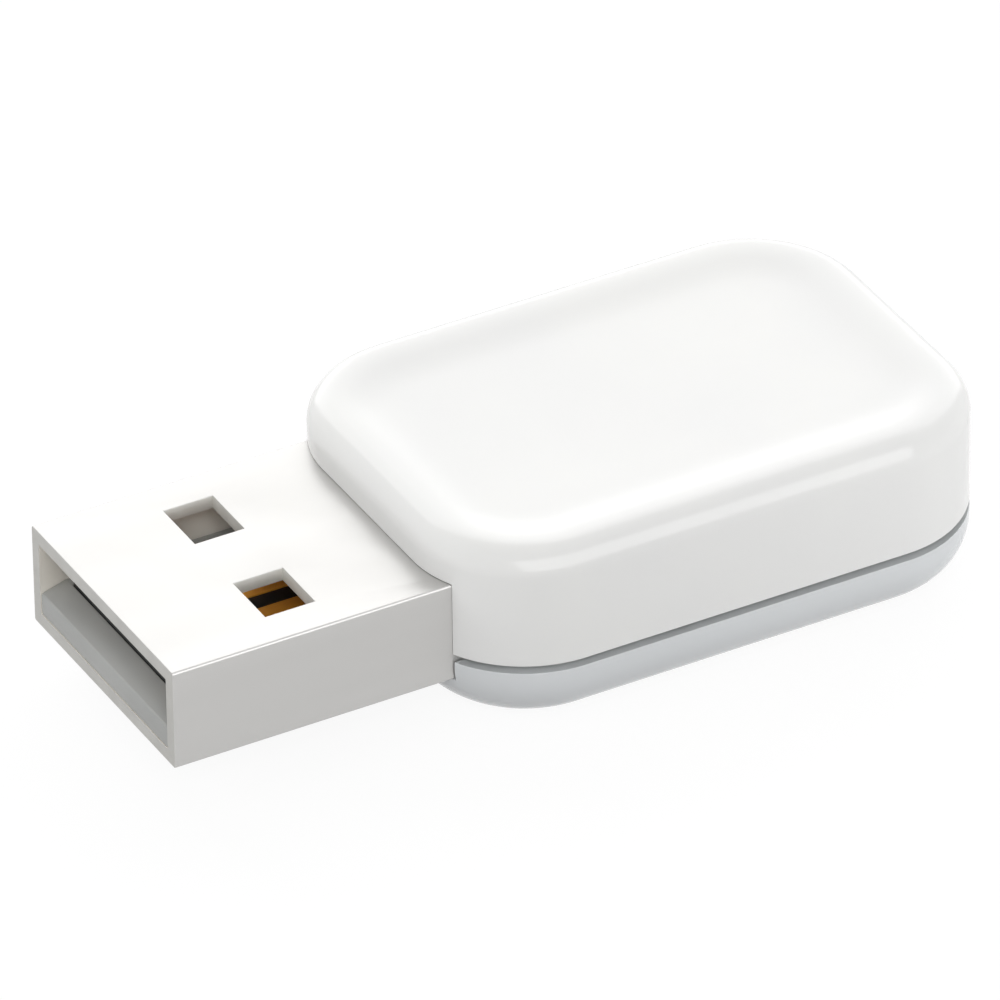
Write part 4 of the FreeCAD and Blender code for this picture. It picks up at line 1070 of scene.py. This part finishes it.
@dataclass(frozen=True)
class FramePart:
    """A part whose shape the frame has right: its edges are eased and its faces dressed."""

    node: str
    finish: Finish
    slot: str
    metal: Metal = Metal.NONE
    # How far in from the part's own box its metal ends.
    reach: float = 0.0
    ease: float = 0.03
    # The share of the reach by which a face may miss its place.
    slack: float = 0.02

    def make(self) -> bpy.types.Object:
        """Copies the node's mesh, closes it, rounds its edges and dresses it.

        Returns:
            The new piece, which stands for the node.
        """
        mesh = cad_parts[self.node].data.copy()
        mesh.materials.clear()
        shape = bmesh.new()
        shape.from_mesh(mesh)
        bmesh.ops.remove_doubles(shape, verts=shape.verts, dist=WELD)
        bmesh.ops.dissolve_limit(
            shape, angle_limit=FLAT_ANGLE, verts=shape.verts, edges=shape.edges,
        )
        shape.to_mesh(mesh)
        shape.free()
        piece = new_piece(f"finished_{self.node}", mesh)
        mesh.materials.append(self.finish.material())
        if self.ease:
            easing = piece.modifiers.new("easing", "BEVEL")
            easing.width = self.ease * MM
            easing.segments = SMALL_ROUNDING_ROWS
            easing.limit_method = "ANGLE"
            easing.angle_limit = SHARP_ANGLE
            bake(piece)
        low, high = corners_of(self.node)
        dress_faces(piece, TIN_PLATE, lambda face: self.is_metal(face.center / MM, low, high))
        smooth(piece)
        return piece

    def is_metal(self, spot: Vector, low: Vector, high: Vector) -> bool:
        """Whether a face of the part is bare metal.

        Args:
            spot: the face's middle.
            low: the lowest corner of the part's box.
            high: its highest corner.

        Returns:
            True where it is.
        """
        near = self.reach * self.slack
        outer_x = min(spot.x - low.x, high.x - spot.x) < self.reach - near
        outer_y = min(spot.y - low.y, high.y - spot.y) < self.reach - near
        return {
            Metal.NONE: False,
            Metal.TERMINALS: outer_x or outer_y,
            Metal.LEADS: outer_y,
            Metal.LID: spot.z > high.z - self.reach + near,
            Metal.ENDS: min(spot.x - low.x, high.x - spot.x) < self.reach + near,
        }[self.metal]


# How far in from a part's box the land, the bent lead, the lid and the end cap reach.
LAND_REACH = 0.04
LEAD_REACH = 0.43
LID_REACH = 0.25
CAP_REACH = 0.25
# Packages with lands or leads keep the frame's own edges, and the smallest chips get finer ones.
NO_EASE = 0.0
FINE_EASE = 0.02
# The plug's inner parts.
PLUG_PARTS = (
    FramePart("usb_insulator", INSULATOR_PBT, "insulator_grey"),
    FramePart("contact_bed", BED_LCP, "bed_black"),
    *(FramePart(f"contact_{line}", CONTACT_GOLD, "contact_gold")
      for line in ("vbus", "data_minus", "data_plus", "ground")),
)
# What the board carries.
BOARD_PARTS = (
    *(FramePart(node, PACKAGE_EPOXY, "chip_black", Metal.TERMINALS, LAND_REACH, NO_EASE)
      for node in ("radio_chip", "usb_bridge_chip")),
    *(FramePart(node, PACKAGE_EPOXY, "chip_black", Metal.LEADS, LEAD_REACH, NO_EASE)
      for node in ("flash_memory", "voltage_regulator", "esd_array")),
    *(FramePart(node, ALUMINA, "crystal_can", Metal.LID, LID_REACH)
      for node in ("radio_crystal", "band_filter")),
    FramePart("resettable_fuse", FUSE_POLYMER, "fuse_green", Metal.ENDS, CAP_REACH),
    FramePart("ground_ferrite", FERRITE, "ferrite_grey", Metal.ENDS, CAP_REACH),
    FramePart("bulk_capacitor", CHIP_CERAMIC, "ceramic_tan", Metal.ENDS, CAP_REACH),
    *(FramePart(f"ceramic_capacitor_{at}", CHIP_CERAMIC, "ceramic_tan", Metal.ENDS, CAP_REACH, FINE_EASE)
      for at in (1, 2, 3, 4)),
    *(FramePart(f"chip_resistor_{at}", RESISTOR_GLAZE, "resistor_black", Metal.ENDS, CAP_REACH, FINE_EASE)
      for at in (1, 2, 3)),
)
# Nodes that keep their own mesh.
DRESSED_NODES = (
    ("circuit_board", SOLDER_MASK),
    ("shield_can", TIN_PLATE),
    ("antenna", TIN_PLATE),
)


def keep_piece(piece: bpy.types.Object, slot: str, *nodes: str) -> None:
    """Lets a finished piece ride on the body, in the place of its nodes.

    Args:
        piece: the finished piece.
        slot: not used.
        nodes: the frame's nodes that it stands for.
    """
    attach(piece, BODY)
    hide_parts(*nodes)
    LOG.info("%s: %d faces", piece.name, len(piece.data.polygons))


def direction(azimuth: float, elevation: float) -> Vector:
    """Points from the stick to something that looks at it.

    Args:
        azimuth: degrees round from the near side, towards the closed end.
        elevation: degrees up from the floor.

    Returns:
        The direction, one long.
    """
    turn, lift = math.radians(azimuth), math.radians(elevation)
    return Vector((math.sin(turn) * math.cos(lift), -math.cos(turn) * math.cos(lift), math.sin(lift)))


@dataclass(frozen=True)
class Viewpoint:
    """Where the photograph was taken from, in degrees and millimetres."""

    azimuth: float = -28.49
    elevation: float = 33.70
    roll: float = -0.77
    distance: float = 499.3
    target: tuple[float, float, float] = (-3.01, -4.78, 8.81)
    lens: float = 457.7
    sensor: float = 36.0
    # Nothing nearer or farther than this is drawn.
    nearest: float = 10.0
    farthest: float = 10000.0

    def make(self) -> None:
        """Places the scene's camera."""
        turn, roll = math.radians(self.azimuth), math.radians(self.roll)
        back = direction(self.azimuth, self.elevation)
        level = Vector((math.cos(turn), math.sin(turn), 0.0))
        right = level * math.cos(roll) + back.cross(level) * math.sin(roll)
        up = back.cross(right)
        data = bpy.data.cameras.new("camera")
        data.lens, data.sensor_width = self.lens, self.sensor
        data.clip_start, data.clip_end = self.nearest * MM, self.farthest * MM
        camera = bpy.data.objects.new("camera", data)
        where = (Vector(self.target) + back * self.distance) * MM
        axes = Matrix((right, up, back)).transposed().to_4x4()
        camera.matrix_world = Matrix.Translation(where) @ axes
        bpy.context.scene.collection.objects.link(camera)
        bpy.context.scene.camera = camera


class Task(Enum):
    """What a lamp is there for."""

    LIGHT = "it lights the stick, and no gloss shows it"
    GLOSS = "it shows in the gloss alone, as a white card does"


@dataclass(frozen=True)
class Softbox:
    """A rectangular lamp that faces the stick from a direction, in millimetres and degrees."""

    name: str
    azimuth: float
    elevation: float
    width: float
    height: float
    brightness: float
    task: Task
    distance: float = 420.0

    def make(self) -> None:
        """Places the lamp, facing the stick."""
        back = direction(self.azimuth, self.elevation)
        data = bpy.data.lights.new(self.name, "AREA")
        data.shape = "RECTANGLE"
        data.size, data.size_y = self.width * MM, self.height * MM
        # An area lamp's power spreads over its area and a half sphere.
        data.energy = self.brightness * math.pi * data.size * data.size_y
        lamp = bpy.data.objects.new(self.name, data)
        lamp.location = back * self.distance * MM
        lamp.rotation_mode = "QUATERNION"
        lamp.rotation_quaternion = back.to_track_quat("Z", "Y")
        lamp.visible_camera = False
        lamp.visible_diffuse = self.task is not Task.GLOSS
        lamp.visible_glossy = self.task is not Task.LIGHT
        bpy.context.scene.collection.objects.link(lamp)


@dataclass(frozen=True)
class Studio:
    """The plain pale floor, the soft lamps, the white surround and the camera."""

    floor_side: float = 6000.0
    # The floor lies this far under the stick, so that their faces don't share a plane.
    floor_drop: float = 0.02
    floor_colour: str = "#BCBCBC"
    # How much of the floor is plain white where the camera or a reflection looks at it.
    floor_share: float = 0.8
    floor_white: float = 1.15
    sky: float = 0.2
    # Each lamp's azimuth and elevation, width and height, brightness, task and distance.
    lamps: tuple[Softbox, ...] = (
        Softbox("back_softbox", 152.0, 29.0, 640.0, 560.0, 2.2, Task.LIGHT, 460.0),
        Softbox("back_card", 152.0, 29.0, 640.0, 560.0, 1.18, Task.GLOSS),
        Softbox("front_card", 0.0, 27.0, 520.0, 365.0, 1.9, Task.GLOSS),
        Softbox("front_softbox", -28.5, 40.0, 220.0, 180.0, 4.5, Task.LIGHT),
        Softbox("left_softbox", -62.0, 15.0, 420.0, 170.0, 1.0, Task.LIGHT),
        Softbox("mouth_softbox", -102.0, 28.0, 260.0, 240.0, 2.2, Task.LIGHT),
        Softbox("end_softbox", 66.0, 13.0, 90.0, 60.0, 0.7, Task.LIGHT, 110.0),
        Softbox("corner_softbox", 46.0, 10.0, 50.0, 30.0, 2.7, Task.LIGHT, 75.0),
    )

    @staticmethod
    def seen(tree: bpy.types.NodeTree) -> bpy.types.NodeSocket:
        """Adds a test for what the camera sees, directly or in metal and glass.

        Args:
            tree: the tree that needs the test.

        Returns:
            One where such a ray looks, and nought for the light that falls on the stick.
        """
        ray = add_node(tree, "ShaderNodeLightPath").outputs
        total = ray["Is Camera Ray"]
        for name in ("Is Glossy Ray", "Is Transmission Ray"):
            total = add_node(tree, "ShaderNodeMath", {"operation": "MAXIMUM"}, {
                0: total, 1: ray[name],
            }).outputs[0]
        # A mirror ray that follows a matt bounce is light too, which the backdrop doesn't give.
        direct = add_node(tree, "ShaderNodeMath", {"operation": "LESS_THAN"}, {
            0: ray["Diffuse Depth"], 1: NO_BOUNCE,
        })
        return add_node(tree, "ShaderNodeMath", {"operation": "MULTIPLY"}, {
            0: total, 1: direct.outputs[0],
        }).outputs[0]

    def make_floor(self) -> None:
        """Lays the floor under the stick."""
        material = bpy.data.materials.new("white_paper_sweep")
        material.use_nodes = True
        tree = material.node_tree
        tree.nodes.clear()
        share = add_node(tree, "ShaderNodeMath", {"operation": "MULTIPLY"}, {
            0: self.seen(tree), 1: self.floor_share,
        })
        paper = add_node(tree, "ShaderNodeBsdfDiffuse", inputs={"Color": linear(self.floor_colour)})
        white = add_node(tree, "ShaderNodeEmission", inputs={"Strength": self.floor_white})
        mixed = add_node(tree, "ShaderNodeMixShader", inputs={
            0: share.outputs[0], 1: paper.outputs[0], 2: white.outputs[0],
        })
        add_node(tree, "ShaderNodeOutputMaterial", inputs={"Surface": mixed.outputs[0]})
        half, level = self.floor_side * MM / 2, -self.floor_drop * MM
        corners = [(-half, -half, level), (half, -half, level), (half, half, level),
                   (-half, half, level)]
        mesh = bpy.data.meshes.new("floor")
        mesh.from_pydata(corners, [], [(0, 1, 2, 3)])
        mesh.materials.append(material)
        new_piece("floor", mesh)

    def make_world(self) -> None:
        """Surrounds the scene: white where it is seen, and a plain soft sky where it lights."""
        world = bpy.data.worlds.new("surround")
        world.use_nodes = True
        tree = world.node_tree
        tree.nodes.clear()
        strength = add_node(tree, "ShaderNodeMapRange", inputs={
            "Value": self.seen(tree), "To Min": self.sky, "To Max": 1.0,
        })
        air = add_node(tree, "ShaderNodeBackground", inputs={
            "Color": (1.0, 1.0, 1.0, 1.0), "Strength": strength.outputs[0],
        })
        add_node(tree, "ShaderNodeOutputWorld", inputs={"Surface": air.outputs[0]})
        bpy.context.scene.world = world

    def make(self) -> None:
        """Builds the whole studio."""
        self.make_floor()
        self.make_world()
        for lamp in self.lamps:
            lamp.make()
        Viewpoint().make()
        bpy.context.scene.view_settings.view_transform = "Standard"


def main() -> None:
    """Builds every piece in the order in which the stick is put together."""
    logging.basicConfig(level=logging.INFO, format="%(name)s %(message)s")
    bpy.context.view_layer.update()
    stick = Stick.from_frame()
    housing, plug = Housing(stick), Plug(stick)
    keep_piece(housing.make_base(), "housing_white", "bottom_housing")
    keep_piece(plug.make_shell(), "plug_steel", "usb_shell")
    for part in (*PLUG_PARTS, *BOARD_PARTS):
        keep_piece(part.make(), part.slot, part.node)
    for node, finish in DRESSED_NODES:
        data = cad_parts[node].data
        data.materials.clear()
        data.materials.append(finish.material())
    keep_piece(housing.make_top(), "housing_white", "top_housing")
    Studio().make()


if __name__ == "__main__":
    main()
